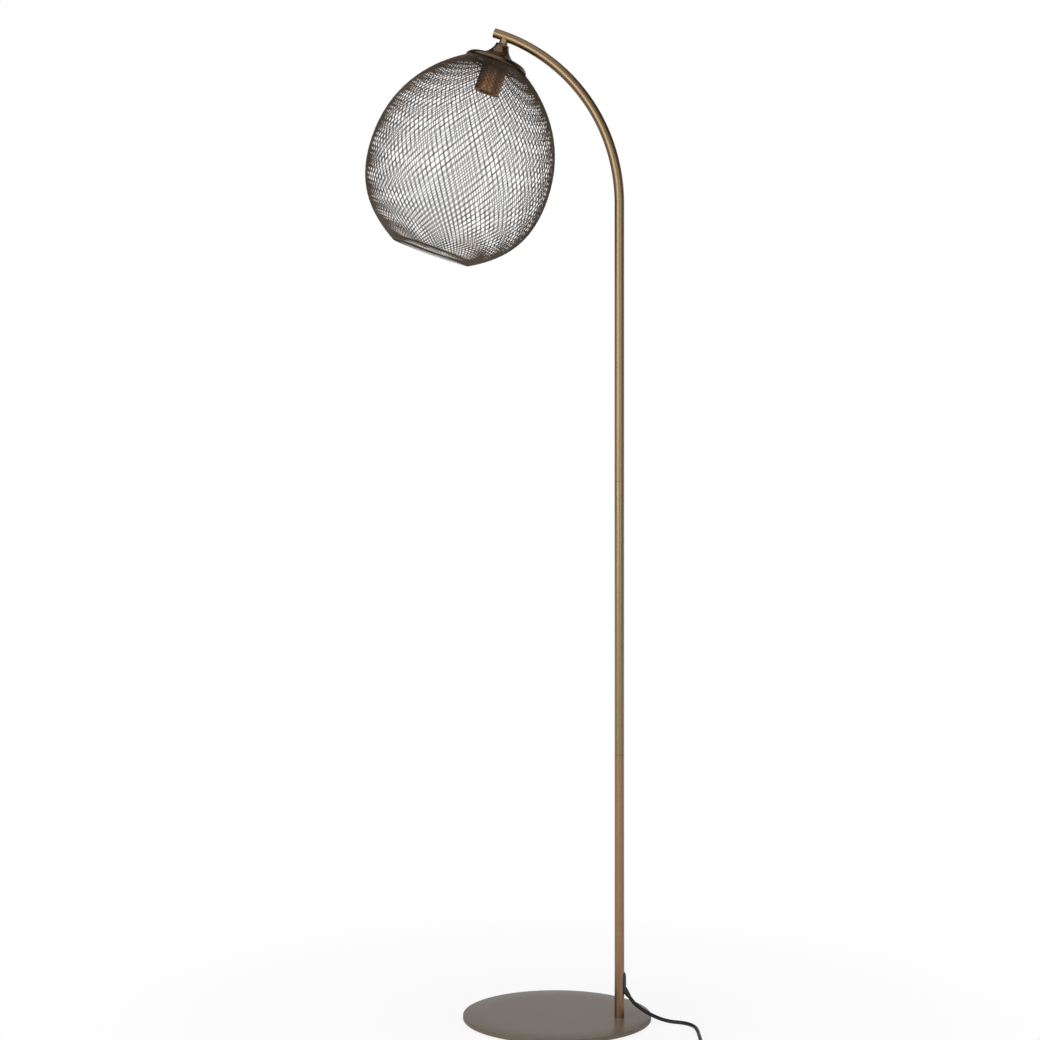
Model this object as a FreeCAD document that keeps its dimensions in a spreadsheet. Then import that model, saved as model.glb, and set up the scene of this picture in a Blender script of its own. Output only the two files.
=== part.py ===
import FreeCAD, Part
import math
import os

import Sketcher
from FreeCAD import Placement, Rotation, Vector

# Wire cage floor lamp: a round steel base, a bronze tube pole that bends over at the top,
# a trumpet shaped cap and an egg shaped cage of crossing wires round a bare lampholder.
# Millimetres. Origin on the floor under the centre of the base, +Z up, pole towards +X.

DRIVING_SIZES = {
    # base
    "base_diameter": 300.0,
    "base_thickness": 6.0,
    "base_edge_fillet": 0.8,
    "felt_diameter": 292.0,
    "felt_thickness": 1.2,
    "pole_offset": 100.0,
    "bolt_recess_diameter": 26.0,
    "bolt_recess_depth": 3.4,
    "bolt_diameter": 8.0,
    "bolt_length": 24.0,
    "bolt_head_diameter": 18.0,
    "bolt_head_thickness": 2.6,
    "bolt_washer_diameter": 21.0,
    "bolt_washer_thickness": 1.2,
    "thread_clearance": 0.05,
    # pole and arm
    "tube_diameter": 15.4,
    "tube_wall": 1.2,
    "lower_seam_height": 422.5,
    "upper_seam_height": 856.2,
    "arm_bend_height": 1296.7,
    "arm_bend_radius": 295.0,
    "arm_bend_angle": 70.4,
    "arm_end_straight": 6.0,
    "arm_plug_length": 5.0,
    "foot_insert_length": 26.0,
    "joint_insert_length": 22.0,
    "joint_stud_length": 16.0,
    "joint_stud_diameter": 10.0,
    "cable_bore": 6.8,
    # cord outlet at the foot of the pole
    "outlet_slot_width": 8.0,
    "outlet_slot_bottom": 46.5,
    "outlet_slot_height": 24.0,
    "outlet_clearance": 0.1,
    "hood_width": 10.4,
    "hood_bottom": 46.0,
    "hood_height": 32.5,
    "hood_thickness": 3.0,
    "hood_seat_gap": 0.15,
    "nose_root_radius": 4.9,
    "nose_tip_radius": 3.5,
    "inner_boss_radius": 3.6,
    # stub and the head's threaded stem
    "stub_inset": 19.5,
    "stub_diameter": 14.0,
    "stub_end": 13.0,
    "weld_gap": 0.1,
    "stem_diameter": 10.0,
    "stem_bore": 7.0,
    "stem_top": 8.3,
    "stem_end": 57.0,
    "stem_clearance": 0.05,
    "swivel_washer_thickness": 0.8,
    "lead_hole_diameter": 7.0,
    # cap
    "cap_neck_diameter": 22.8,
    "cap_rim_diameter": 102.0,
    "cap_height": 32.5,
    "cap_neck_straight": 3.0,
    "cap_shoulder_radius_at": 41.5,
    "cap_shoulder_drop": 24.0,
    "cap_flare_bulge": 31.0,
    "cap_shoulder_bulge": 13.0,
    "cap_rim_lip": 1.5,
    "cap_wall": 1.0,
    # nuts and washers on the stem
    "nut_across_flats": 14.0,
    "nut_thickness": 4.0,
    "star_washer_diameter": 18.0,
    "star_washer_thickness": 0.8,
    # cage
    "cage_top_radius": 44.8,
    "cage_top_drop": 45.9,
    "cage_top_slope": 30.9,
    "cage_top_pull": 55.6,
    "cage_widest_radius": 148.4,
    "cage_widest_drop": 222.2,
    "cage_upper_pull": 92.8,
    "cage_lower_pull": 73.5,
    "cage_bottom_radius": 64.4,
    "cage_bottom_drop": 363.4,
    "cage_bottom_slope": 30.2,
    "cage_bottom_pull": 60.0,
    "cage_wire_diameter": 1.3,
    "cage_wire_slant": 31.0,
    "cage_wire_count": 96,
    "cage_wire_runs": 24,
    "cage_layer_gap": 0.1,
    "top_ring_wire": 3.0,
    "bottom_ring_wire": 3.4,
    "ring_setback": 3.0,
    "ring_gap": 0.15,
    "carrier_thickness": 1.5,
    "carrier_arm_width": 10.0,
    "carrier_eye_diameter": 26.0,
    # lampholder
    "holder_diameter": 41.0,
    "holder_wall": 1.0,
    "holder_mouth": 94.0,
    "holder_body_top": 60.0,
    "holder_body_recess": 1.5,
    "socket_bore": 26.6,
    "socket_shell_wall": 0.4,
    "socket_depth": 25.0,
    "contact_diameter": 10.0,
    "contact_thickness": 1.4,
    "terminal_spread": 12.0,
    "terminal_diameter": 5.0,
    "terminal_height": 3.0,
    "cable_strip_length": 26.0,
    "lead_turn_radius": 4.5,
    "lead_diameter": 2.2,
    "lead_spread": 1.35,
    # supply cord
    "cord_diameter": 5.8,
    "coil_gap": 0.6,
    "coil_lift": 1.2,
    "coil_turns_in_layer": 3,
    "coil_outer_radius": 43.5,
    "coil_centre_x": 4.0,
    "coil_centre_y": -262.0,
    "tie_width": 12.0,
    "tie_thickness": 0.8,
    "tie_clearance": 0.35,
    # foot switch on the cord
    "switch_x": 136.0,
    "switch_y": -218.5,
    "switch_length": 86.0,
    "switch_width": 38.0,
    "switch_base_height": 8.0,
    "switch_cover_height": 11.0,
    "switch_wall": 2.0,
    "switch_edge_fillet": 4.0,
    "switch_boss_radius": 3.4,
    "switch_turn_radius": 32.0,
    "switch_lead_straight": 7.0,
    "switch_button_diameter": 24.0,
    "switch_button_clearance": 0.4,
    "switch_button_rise": 4.0,
    "switch_flange_thickness": 1.5,
    "switch_flange_reach": 2.0,
    "switch_spring_diameter": 12.0,
    "switch_spring_wire": 1.0,
    "switch_block_length": 34.0,
    "switch_block_width": 20.0,
    "switch_block_height": 6.0,
    "switch_screw_diameter": 3.0,
    "switch_screw_head": 6.0,
    "switch_screw_spread": 62.0,
    "boot_length": 24.0,
    "boot_root_radius": 5.0,
    "boot_tip_radius": 3.5,
    # plug
    "plug_width": 35.0,
    "plug_thickness": 13.7,
    "plug_length": 34.0,
    "plug_pin_diameter": 4.0,
    "plug_pin_length": 19.0,
    "plug_pin_spread": 18.6,
    "plug_boot_length": 26.0,
}

doc = FreeCAD.newDocument("wire_cage_floor_lamp")
sheet = doc.addObject("Spreadsheet::Sheet", "Sizes")
for row, (alias, value) in enumerate(DRIVING_SIZES.items(), start=1):
    sheet.set(f"A{row}", alias)
    sheet.set(f"B{row}", str(value))
    sheet.setAlias(f"B{row}", alias)
doc.recompute()

SUB_PARTS = []


def size(alias):
    """The value of one cell of the sheet."""
    return float(getattr(sheet, alias))


def keep(piece, label):
    """Marks an object as a sub-part; its label names its file."""
    piece.Label = label
    SUB_PARTS.append(piece)
    return piece


def bind(piece, **expressions):
    """Ties properties of an object to the sheet. In a name, _ stands for the dot of a path."""
    for name, expression in expressions.items():
        piece.setExpression(name.replace("_", "."), expression)
    return piece


def value_of(expression):
    """What an expression on the sheet comes to."""
    return float(sheet.evalExpression(expression))


def stand_at(piece, x, y, z):
    """Ties the place of a plain solid to the sheet, where one is given."""
    for axis, place in (("x", x), ("y", y), ("z", z)):
        if place is not None:
            piece.setExpression("Placement.Base." + axis, place)
    return piece


def cylinder(name, radius, height, x=None, y=None, z=None):
    piece = doc.addObject("Part::Cylinder", name)
    bind(piece, Radius=radius, Height=height)
    return stand_at(piece, x, y, z)


def cone(name, root_radius, tip_radius, height):
    piece = doc.addObject("Part::Cone", name)
    return bind(piece, Radius1=root_radius, Radius2=tip_radius, Height=height)


def box(name, length, width, height, x=None, y=None, z=None):
    piece = doc.addObject("Part::Box", name)
    bind(piece, Length=length, Width=width, Height=height)
    return stand_at(piece, x, y, z)


def hexagon(name, across_flats, height, z):
    """A hexagonal nut blank on the Z axis."""
    piece = doc.addObject("Part::Prism", name)
    piece.Polygon = 6
    bind(piece, Circumradius=f"{across_flats} / 2 / cos(30)", Height=height)
    return bind(piece, Placement_Base_z=z)


def cut(name, base, tool):
    piece = doc.addObject("Part::Cut", name)
    piece.Base = base
    piece.Tool = tool
    return piece


def fuse(name, *pieces):
    piece = doc.addObject("Part::MultiFuse", name)
    piece.Shapes = list(pieces)
    piece.Refine = True
    return piece


def ring(name, radius, bore_radius, height, x=None, y=None, z=None):
    """A flat ring or a tube: one cylinder less another."""
    blank = cylinder(name + "_blank", radius, height, x, y, z)
    bore = cylinder(name + "_bore", bore_radius, height, x, y, z)
    return cut(name, blank, bore)


def stadium(name, length, width, height, x, y, z):
    """A flat sided block with half round ends, standing on z, its length along X."""
    middle = box(
        name + "_middle", f"({length}) - ({width})", width, height,
        f"({x}) - (({length}) - ({width})) / 2", f"({y}) - ({width}) / 2", z,
    )
    ends = [
        cylinder(
            f"{name}_end_{k}", f"({width}) / 2", height,
            f"({x}) {sign} (({length}) - ({width})) / 2", y, z,
        )
        for k, sign in enumerate("+-")
    ]
    return fuse(name, middle, *ends)


def origin_plane(body, role):
    return next(p for p in body.Origin.OriginFeatures if p.Role == role)


def bend_of(corner):
    return value_of(corner[2]) if len(corner) > 2 else 0.0


def outline_edge(start, end, bend):
    """A straight edge, or an arc of radius bend: above zero it turns left on its way."""
    if bend == 0:
        return Part.LineSegment(start, end)
    chord = end - start
    to_left = Vector(-chord.y, chord.x, 0).normalize()
    rise = math.sqrt(bend**2 - (chord.Length / 2) ** 2)
    centre = (start + end) / 2 + to_left * math.copysign(rise, bend)
    first, last = (start, end) if bend > 0 else (end, start)
    angles = [math.atan2(p.y - centre.y, p.x - centre.x) for p in (first, last)]
    if angles[1] < angles[0]:
        angles[1] += 2 * math.pi
    return Part.ArcOfCircle(Part.Circle(centre, Vector(0, 0, 1), abs(bend)), *angles)


def lathe(name, outline):
    """A body turned about Z from a closed outline of corners (radius, height, bend), where
    bend, left out for a straight edge, is the arc's radius on the way to that corner."""
    body = doc.addObject("PartDesign::Body", name)
    sketch = body.newObject("Sketcher::SketchObject", name + "_outline")
    sketch.AttachmentSupport = (origin_plane(body, "XZ_Plane"), [""])
    sketch.MapMode = "FlatFace"
    corners = [Vector(value_of(c[0]), value_of(c[1]), 0) for c in outline]
    count = len(outline)
    tails = []
    for k, corner in enumerate(corners):
        after = (k + 1) % count
        bend = bend_of(outline[after])
        sketch.addGeometry(outline_edge(corner, corners[after], bend), False)
        tails.append((2, 1) if bend < 0 else (1, 2))
    for k in range(count):
        after = (k + 1) % count
        joined = Sketcher.Constraint("Coincident", k, tails[k][1], after, tails[after][0])
        sketch.addConstraint(joined)
    for k, corner in enumerate(outline):
        for kind, expression in (("DistanceX", corner[0]), ("DistanceY", corner[1])):
            place = value_of(expression)
            held = Sketcher.Constraint(kind, -1, 1, k, tails[k][0], place)
            sketch.setExpression(f"Constraints[{sketch.addConstraint(held)}]", expression)
        bend = bend_of(outline[(k + 1) % count])
        if bend:
            held = Sketcher.Constraint("Radius", k, abs(bend))
            expression = f"abs({outline[(k + 1) % count][2]})"
            sketch.setExpression(f"Constraints[{sketch.addConstraint(held)}]", expression)
    turned = body.newObject("PartDesign::Revolution", name + "_turned")
    turned.Profile = sketch
    turned.ReferenceAxis = (sketch, ["V_Axis"])
    turned.Angle = 360
    return body


# ---------------------------------------------------------------- paths and tubes

def arc_through(start, heading, end):
    """The arc that leaves start along heading and arrives at end."""
    chord = end - start
    along = Vector(chord).normalize()
    aside = heading - along * heading.dot(along)
    if aside.Length < 1e-6:
        return Part.LineSegment(start, end).toShape()
    lean = math.acos(max(-1.0, min(1.0, heading.dot(along))))
    middle = start + chord / 2 + aside.normalize() * (chord.Length / 2 * math.tan(lean / 2))
    return Part.Arc(start, middle, end).toShape()


def biarc(start, heading, end, end_heading):
    """Two arcs that join start to end and share a tangent where they meet."""
    chord = end - start
    both = heading + end_heading
    spread = 2 * (1 - heading.dot(end_heading))
    if spread < 1e-9:
        reach = chord.dot(chord) / (4 * chord.dot(end_heading))
    else:
        ahead = chord.dot(both)
        reach = (math.sqrt(ahead**2 + spread * chord.dot(chord)) - ahead) / spread
    meeting = (start + end + (heading - end_heading) * reach) / 2
    second = arc_through(end, end_heading * -1, meeting)
    return [arc_through(start, heading, meeting), second]


def tube_along(edges, start, heading, radius):
    """A round tube along a run of tangent edges."""
    spine = Part.Wire(Part.__sortEdges__(edges))
    section = Part.Wire(Part.makeCircle(radius, start, heading))
    return spine.makePipeShell([section], True, False)


def rounded_route(points, label):
    """Straight runs between the points, joined by tangent arcs as large as the runs allow."""
    edges = []
    radii = []
    last = points[0]
    for before, corner, after in zip(points, points[1:], points[2:]):
        into = (corner - before).normalize()
        away = (after - corner).normalize()
        half_turn = into.getAngle(away) / 2
        reach = 0.45 * min((corner - before).Length, (after - corner).Length)
        radii.append(reach / math.tan(half_turn))
        start, end = corner - into * reach, corner + away * reach
        edges.append(Part.LineSegment(last, start).toShape())
        edges.append(arc_through(start, into, end))
        last = end
    edges.append(Part.LineSegment(last, points[-1]).toShape())
    length = sum(edge.Length for edge in edges)
    print(f"{label}: length {length:.0f}, bend radii", [round(r) for r in radii])
    return edges


def cord_piece(label, points, radius):
    """A free or held stretch of cord, as one Part::Feature."""
    edges = rounded_route(points, label)
    solid = tube_along(edges, points[0], points[1] - points[0], radius)
    expected = math.pi * radius**2 * sum(edge.Length for edge in edges)
    print(f"{label}: volume over section times length {solid.Volume / expected:.4f}")
    piece = doc.addObject("Part::Feature", label)
    piece.Shape = solid
    return keep(piece, label)


# ---------------------------------------------------------------- base

def make_base():
    plate = doc.addObject("PartDesign::Body", "plate_blank")
    sketch = plate.newObject("Sketcher::SketchObject", "plate_outline")
    sketch.AttachmentSupport = (origin_plane(plate, "XY_Plane"), [""])
    sketch.MapMode = "FlatFace"
    sketch.addGeometry(Part.Circle(Vector(), Vector(0, 0, 1), size("base_diameter") / 2), False)
    sketch.addConstraint(Sketcher.Constraint("Coincident", 0, 3, -1, 1))
    sketch.addConstraint(Sketcher.Constraint("Diameter", 0, size("base_diameter")))
    sketch.setExpression("Constraints[1]", "Sizes.base_diameter")
    pad = plate.newObject("PartDesign::Pad", "plate_pad")
    pad.Profile = sketch
    bind(pad, Length="Sizes.base_thickness")
    doc.recompute()
    edge = plate.newObject("PartDesign::Fillet", "plate_edge")
    edge.Base = (pad, ["Edge1", "Edge3"])
    bind(edge, Radius="Sizes.base_edge_fillet")
    bind(plate, Placement_Base_z="Sizes.felt_thickness")

    bolt_hole = cylinder(
        "bolt_hole", "Sizes.bolt_diameter / 2 + Sizes.thread_clearance",
        "Sizes.base_thickness + Sizes.felt_thickness", "Sizes.pole_offset",
    )
    recess = cylinder(
        "bolt_recess", "Sizes.bolt_recess_diameter / 2",
        "Sizes.felt_thickness + Sizes.bolt_recess_depth", "Sizes.pole_offset",
    )
    keep(cut("base_with_recess", plate, fuse("bolt_way", bolt_hole, recess)), "base_plate")

    felt = cylinder("felt_blank", "Sizes.felt_diameter / 2", "Sizes.felt_thickness")
    felt_hole = cylinder(
        "felt_hole", "Sizes.bolt_recess_diameter / 2", "Sizes.felt_thickness",
        "Sizes.pole_offset",
    )
    keep(cut("felt_with_hole", felt, felt_hole), "base_felt")

    washer_z = "Sizes.felt_thickness + Sizes.bolt_recess_depth - Sizes.bolt_washer_thickness"
    washer = ring(
        "washer", "Sizes.bolt_washer_diameter / 2",
        "Sizes.bolt_diameter / 2 + Sizes.thread_clearance", "Sizes.bolt_washer_thickness",
        x="Sizes.pole_offset", z=washer_z,
    )
    keep(washer, "bolt_washer")
    head_z = f"{washer_z} - Sizes.bolt_head_thickness"
    head = cylinder(
        "bolt_head", "Sizes.bolt_head_diameter / 2", "Sizes.bolt_head_thickness",
        x="Sizes.pole_offset", z=head_z,
    )
    shank = cylinder(
        "bolt_shank", "Sizes.bolt_diameter / 2", "Sizes.bolt_length + Sizes.bolt_head_thickness",
        x="Sizes.pole_offset", z=head_z,
    )
    drive = box(
        "bolt_drive", "Sizes.bolt_head_diameter * 0.7", "2", "Sizes.bolt_head_thickness / 2",
        x="Sizes.pole_offset - Sizes.bolt_head_diameter * 0.35", y="-1", z=head_z,
    )
    keep(cut("bolt_with_slot", fuse("bolt_blank", head, shank), drive), "pole_bolt")


# ---------------------------------------------------------------- pole and arm

FOOT = "Sizes.felt_thickness + Sizes.base_thickness"
TUBE_RADIUS = "Sizes.tube_diameter / 2"
TUBE_BORE = "Sizes.tube_diameter / 2 - Sizes.tube_wall"


def slot_block(name, width, height, bottom, start, end):
    """An upright oblong block with round ends, lying along X from the pole's axis outwards."""
    width, height, bottom = f"({width})", f"({height})", f"({bottom})"
    start, reach = f"({start})", f"({end}) - ({start})"
    middle = box(
        name + "_middle", reach, width, f"{height} - {width}",
        f"Sizes.pole_offset + {start}", f"-{width} / 2", f"{bottom} + {width} / 2",
    )
    ends = []
    for k, level in enumerate((f"{width} / 2", f"{height} - {width} / 2")):
        end_round = cylinder(
            f"{name}_round_{k}", f"{width} / 2", reach,
            f"Sizes.pole_offset + {start}", "0", f"{bottom} + {level}",
        )
        end_round.Placement = Placement(Vector(), Rotation(Vector(0, 1, 0), 90))
        ends.append(end_round)
    return fuse(name, middle, *ends)


def make_pole():
    lower = ring(
        "lower_tube", TUBE_RADIUS, TUBE_BORE, f"Sizes.lower_seam_height - ({FOOT})",
        x="Sizes.pole_offset", z=FOOT,
    )
    slot = slot_block(
        "outlet_slot", "Sizes.outlet_slot_width", "Sizes.outlet_slot_height",
        "Sizes.outlet_slot_bottom", "0", "Sizes.tube_diameter",
    )
    keep(cut("lower_tube_with_slot", lower, slot), "pole_lower")
    middle = ring(
        "middle_tube", TUBE_RADIUS, TUBE_BORE,
        "Sizes.upper_seam_height - Sizes.lower_seam_height",
        x="Sizes.pole_offset", z="Sizes.lower_seam_height",
    )
    keep(middle, "pole_middle")

    foot = ring(
        "foot_insert_ring", TUBE_BORE, "Sizes.bolt_diameter / 2 + Sizes.thread_clearance",
        "Sizes.foot_insert_length", x="Sizes.pole_offset", z=FOOT,
    )
    keep(foot, "pole_foot_insert")

    sockets = []
    studs = []
    for k, seam in enumerate(("Sizes.lower_seam_height", "Sizes.upper_seam_height")):
        sockets.append(ring(
            f"joint_socket_{k}", TUBE_BORE,
            "Sizes.joint_stud_diameter / 2 + Sizes.thread_clearance",
            "Sizes.joint_insert_length", x="Sizes.pole_offset",
            z=f"{seam} - Sizes.joint_insert_length",
        ))
        collar = cylinder(
            f"stud_collar_{k}", TUBE_BORE, "Sizes.joint_insert_length",
            "Sizes.pole_offset", z=seam,
        )
        thread = cylinder(
            f"stud_thread_{k}", "Sizes.joint_stud_diameter / 2", "Sizes.joint_stud_length",
            "Sizes.pole_offset", z=f"{seam} - Sizes.joint_stud_length",
        )
        bore = cylinder(
            f"stud_bore_{k}", "Sizes.cable_bore / 2",
            "Sizes.joint_insert_length + Sizes.joint_stud_length",
            "Sizes.pole_offset", z=f"{seam} - Sizes.joint_stud_length",
        )
        studs.append(cut(f"joint_stud_{k}", fuse(f"stud_blank_{k}", collar, thread), bore))
    keep(doc.addObject("Part::Compound", "joint_sockets"), "joint_sockets").Links = sockets
    keep(doc.addObject("Part::Compound", "joint_studs"), "joint_studs").Links = studs


def arm_point(back_from_end):
    """A point on the arm's centre line and the way the arm runs there, by the distance back
    from its end."""
    bend, turn = size("arm_bend_radius"), math.radians(size("arm_bend_angle"))
    straight = size("arm_end_straight")
    past = max(0.0, straight - back_from_end)
    angle = turn - max(0.0, back_from_end - straight) / bend
    heading = Vector(-math.sin(angle), 0, math.cos(angle))
    across = size("pole_offset") - bend * (1 - math.cos(angle))
    height = size("arm_bend_height") + bend * math.sin(angle)
    return Vector(across, 0, height) + heading * past, heading


STUB_POINT, STUB_HEADING = arm_point(size("stub_inset"))
HEAD_TILT = 90 - size("arm_bend_angle")
HEAD_PLACE = Placement(STUB_POINT, Rotation(Vector(0, 1, 0), HEAD_TILT))


def on_head(piece):
    """Moves a piece from the head's own frame, stem on Z and arm at zero, to its place."""
    doc.recompute()
    own_place = Placement(piece.Placement)
    for axis in "xyz":
        piece.setExpression("Placement.Base." + axis, None)
    piece.Placement = HEAD_PLACE * own_place
    return piece


def make_arm():
    body = doc.addObject("PartDesign::Body", "arm_blank")
    section = body.newObject("Sketcher::SketchObject", "arm_section")
    section.AttachmentSupport = (origin_plane(body, "XY_Plane"), [""])
    section.MapMode = "FlatFace"
    for k, radius in enumerate((TUBE_RADIUS, TUBE_BORE)):
        section.addGeometry(Part.Circle(Vector(), Vector(0, 0, 1), value_of(radius)), False)
        section.addConstraint(Sketcher.Constraint("Coincident", k, 3, -1, 1))
        held = section.addConstraint(Sketcher.Constraint("Radius", k, value_of(radius)))
        section.setExpression(f"Constraints[{held}]", radius)

    path = body.newObject("Sketcher::SketchObject", "arm_path")
    path.AttachmentSupport = (origin_plane(body, "XZ_Plane"), [""])
    path.MapMode = "FlatFace"
    rise = size("arm_bend_height") - size("upper_seam_height")
    bend, turn = size("arm_bend_radius"), math.radians(size("arm_bend_angle"))
    centre = Vector(-bend, rise, 0)
    bend_end = centre + Vector(math.cos(turn), math.sin(turn), 0) * bend
    tip = bend_end + Vector(-math.sin(turn), math.cos(turn), 0) * size("arm_end_straight")
    path.addGeometry(Part.LineSegment(Vector(), Vector(0, rise, 0)), False)
    path.addGeometry(Part.ArcOfCircle(Part.Circle(centre, Vector(0, 0, 1), bend), 0, turn), False)
    path.addGeometry(Part.LineSegment(bend_end, tip), False)
    for rule in (
        ("Coincident", 0, 1, -1, 1), ("Vertical", 0),
        ("Tangent", 0, 2, 1, 1), ("Tangent", 1, 2, 2, 1),
    ):
        path.addConstraint(Sketcher.Constraint(*rule))
    for rule, expression in (
        (("DistanceY", 0, 1, 0, 2, rise), "Sizes.arm_bend_height - Sizes.upper_seam_height"),
        (("Radius", 1, bend), "Sizes.arm_bend_radius"),
        (("Distance", 2, size("arm_end_straight")), "Sizes.arm_end_straight"),
        (("Angle", 2, math.pi / 2 + turn), "(90 + Sizes.arm_bend_angle) * 1 deg"),
    ):
        held = path.addConstraint(Sketcher.Constraint(*rule))
        path.setExpression(f"Constraints[{held}]", expression)
    pipe = body.newObject("PartDesign::AdditivePipe", "arm_pipe")
    pipe.Profile = section
    pipe.Spine = (path, ["Edge1", "Edge2", "Edge3"])
    bind(body, Placement_Base_x="Sizes.pole_offset", Placement_Base_z="Sizes.upper_seam_height")

    lead_hole = cylinder("lead_hole", "Sizes.lead_hole_diameter / 2", "Sizes.tube_diameter")
    lead_hole.Placement = Placement(Vector(0, 0, -size("tube_diameter")), Rotation())
    on_head(lead_hole)
    keep(cut("arm_with_hole", body, lead_hole), "arm_tube")

    tip_point, tip_heading = arm_point(0)
    arm_plug = cylinder("arm_plug", TUBE_BORE, "Sizes.arm_plug_length")
    start = tip_point - tip_heading * size("arm_plug_length")
    arm_plug.Placement = Placement(start, Rotation(Vector(0, 0, 1), tip_heading))
    keep(arm_plug, "arm_end_plug")

    stub = cylinder("stub_blank", "Sizes.stub_diameter / 2", "Sizes.stub_end")
    stub.Placement = Placement(Vector(0, 0, -size("stub_end")), Rotation())
    bore = cylinder(
        "stub_bore", "Sizes.stem_diameter / 2 + Sizes.stem_clearance", "Sizes.stub_end",
        z="-Sizes.stub_end",
    )
    blank = on_head(cut("stub_with_bore", stub, bore))
    saddle = cylinder("stub_saddle", f"{TUBE_RADIUS} + Sizes.weld_gap", "4 * Sizes.tube_diameter")
    saddle_start = STUB_POINT - STUB_HEADING * 2 * size("tube_diameter")
    saddle.Placement = Placement(saddle_start, Rotation(Vector(0, 0, 1), STUB_HEADING))
    keep(cut("stub_coped", blank, saddle), "arm_stub")


# ---------------------------------------------------------------- cap and stem

CAP_TOP = "-Sizes.stub_end - Sizes.swivel_washer_thickness"


def nut(name, top):
    """A hexagonal nut on the stem, its top face at the given height."""
    blank = hexagon(
        name + "_blank", "Sizes.nut_across_flats", "Sizes.nut_thickness",
        f"{top} - Sizes.nut_thickness",
    )
    bore = cylinder(
        name + "_bore", "Sizes.stem_diameter / 2 + Sizes.stem_clearance", "Sizes.nut_thickness",
        z=f"{top} - Sizes.nut_thickness",
    )
    return cut(name, blank, bore)


def stem_hole(name, height, z):
    return cylinder(
        name, "Sizes.stem_diameter / 2 + Sizes.stem_clearance", height, z=z,
    )


def make_cap():
    neck, rim = "Sizes.cap_neck_diameter / 2", "Sizes.cap_rim_diameter / 2"
    wall = "Sizes.cap_wall"
    shoulder_z = f"{CAP_TOP} - Sizes.cap_shoulder_drop"
    bottom = f"{CAP_TOP} - Sizes.cap_height"
    outer = lathe("cap_outside", [
        ("0", CAP_TOP),
        (neck, CAP_TOP),
        (neck, f"{CAP_TOP} - Sizes.cap_neck_straight"),
        ("Sizes.cap_shoulder_radius_at", shoulder_z, "Sizes.cap_flare_bulge"),
        (rim, f"{bottom} + Sizes.cap_rim_lip", "-Sizes.cap_shoulder_bulge"),
        (rim, bottom),
        ("0", bottom),
    ])
    inner = lathe("cap_inside", [
        ("0", f"{CAP_TOP} - {wall}"),
        (f"{neck} - {wall}", f"{CAP_TOP} - {wall}"),
        (f"{neck} - {wall}", f"{CAP_TOP} - Sizes.cap_neck_straight"),
        (f"Sizes.cap_shoulder_radius_at - {wall} * 0.4", f"{shoulder_z} - {wall} * 0.9",
         f"Sizes.cap_flare_bulge + {wall}"),
        (f"{rim} - {wall}", f"{bottom} + Sizes.cap_rim_lip",
         f"{wall} - Sizes.cap_shoulder_bulge"),
        (f"{rim} - {wall}", bottom),
        ("0", bottom),
    ])
    doc.recompute()
    shell = cut("cap_shell", outer, inner)
    hole = stem_hole("cap_hole", "Sizes.cap_height", bottom)
    keep(on_head(cut("cap_with_hole", shell, hole)), "shade_cap")

    washer = ring(
        "swivel_washer", "Sizes.stub_diameter / 2",
        "Sizes.stem_diameter / 2 + Sizes.stem_clearance", "Sizes.swivel_washer_thickness",
        z=CAP_TOP,
    )
    keep(on_head(washer), "swivel_washer")

    stem = ring(
        "stem", "Sizes.stem_diameter / 2", "Sizes.stem_bore / 2",
        "Sizes.stem_end - Sizes.stem_top", z="-Sizes.stem_end",
    )
    keep(on_head(stem), "threaded_stem")

    star_top = f"{CAP_TOP} - {wall}"
    star = ring(
        "star_washer", "Sizes.star_washer_diameter / 2",
        "Sizes.stem_diameter / 2 + Sizes.stem_clearance", "Sizes.star_washer_thickness",
        z=f"{star_top} - Sizes.star_washer_thickness",
    )
    keep(on_head(star), "star_washer")
    nuts = doc.addObject("Part::Compound", "stem_nuts")
    carrier_top = f"-{ring_centre_top().y} + Sizes.carrier_thickness / 2"
    nuts.Links = [
        nut("cap_nut", f"{star_top} - Sizes.star_washer_thickness"),
        nut("carrier_nut", f"{carrier_top} + Sizes.nut_thickness"),
        nut("holder_nut", f"{carrier_top} - Sizes.carrier_thickness - Sizes.holder_wall"),
    ]
    keep(on_head(nuts), "stem_nuts")
    return carrier_top


# ---------------------------------------------------------------- cage

def cubic(points, share):
    a, b, c, d = points
    left = 1 - share
    place = a * left**3 + b * (3 * left**2 * share) + c * (3 * left * share**2) + d * share**3
    run = (b - a) * left**2 + (c - b) * (2 * left * share) + (d - c) * share**2
    return place, run


def cage_profile(share):
    """The cage's mid surface: (radius, depth below the arm) and the way it runs, from the top
    ring at 0 past the widest place at 0.5 to the bottom ring at 1."""
    top = Vector(size("cage_top_radius"), size("cage_top_drop"), 0)
    widest = Vector(size("cage_widest_radius"), size("cage_widest_drop"), 0)
    bottom = Vector(size("cage_bottom_radius"), size("cage_bottom_drop"), 0)
    top_slope = math.radians(size("cage_top_slope"))
    bottom_slope = math.radians(size("cage_bottom_slope"))
    if share <= 0.5:
        leave = Vector(math.cos(top_slope), math.sin(top_slope), 0) * size("cage_top_pull")
        upper = (top, top + leave, widest - Vector(0, size("cage_upper_pull"), 0), widest)
        place, run = cubic(upper, share * 2)
    else:
        arrive = Vector(-math.cos(bottom_slope), math.sin(bottom_slope), 0)
        arrive = arrive * size("cage_bottom_pull")
        lower = (widest, widest + Vector(0, size("cage_lower_pull"), 0), bottom - arrive, bottom)
        place, run = cubic(lower, share * 2 - 1)
    return place, run.normalize()


def offset_profile(share, outwards):
    place, run = cage_profile(share)
    return place + Vector(run.y, -run.x, 0) * outwards


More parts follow.
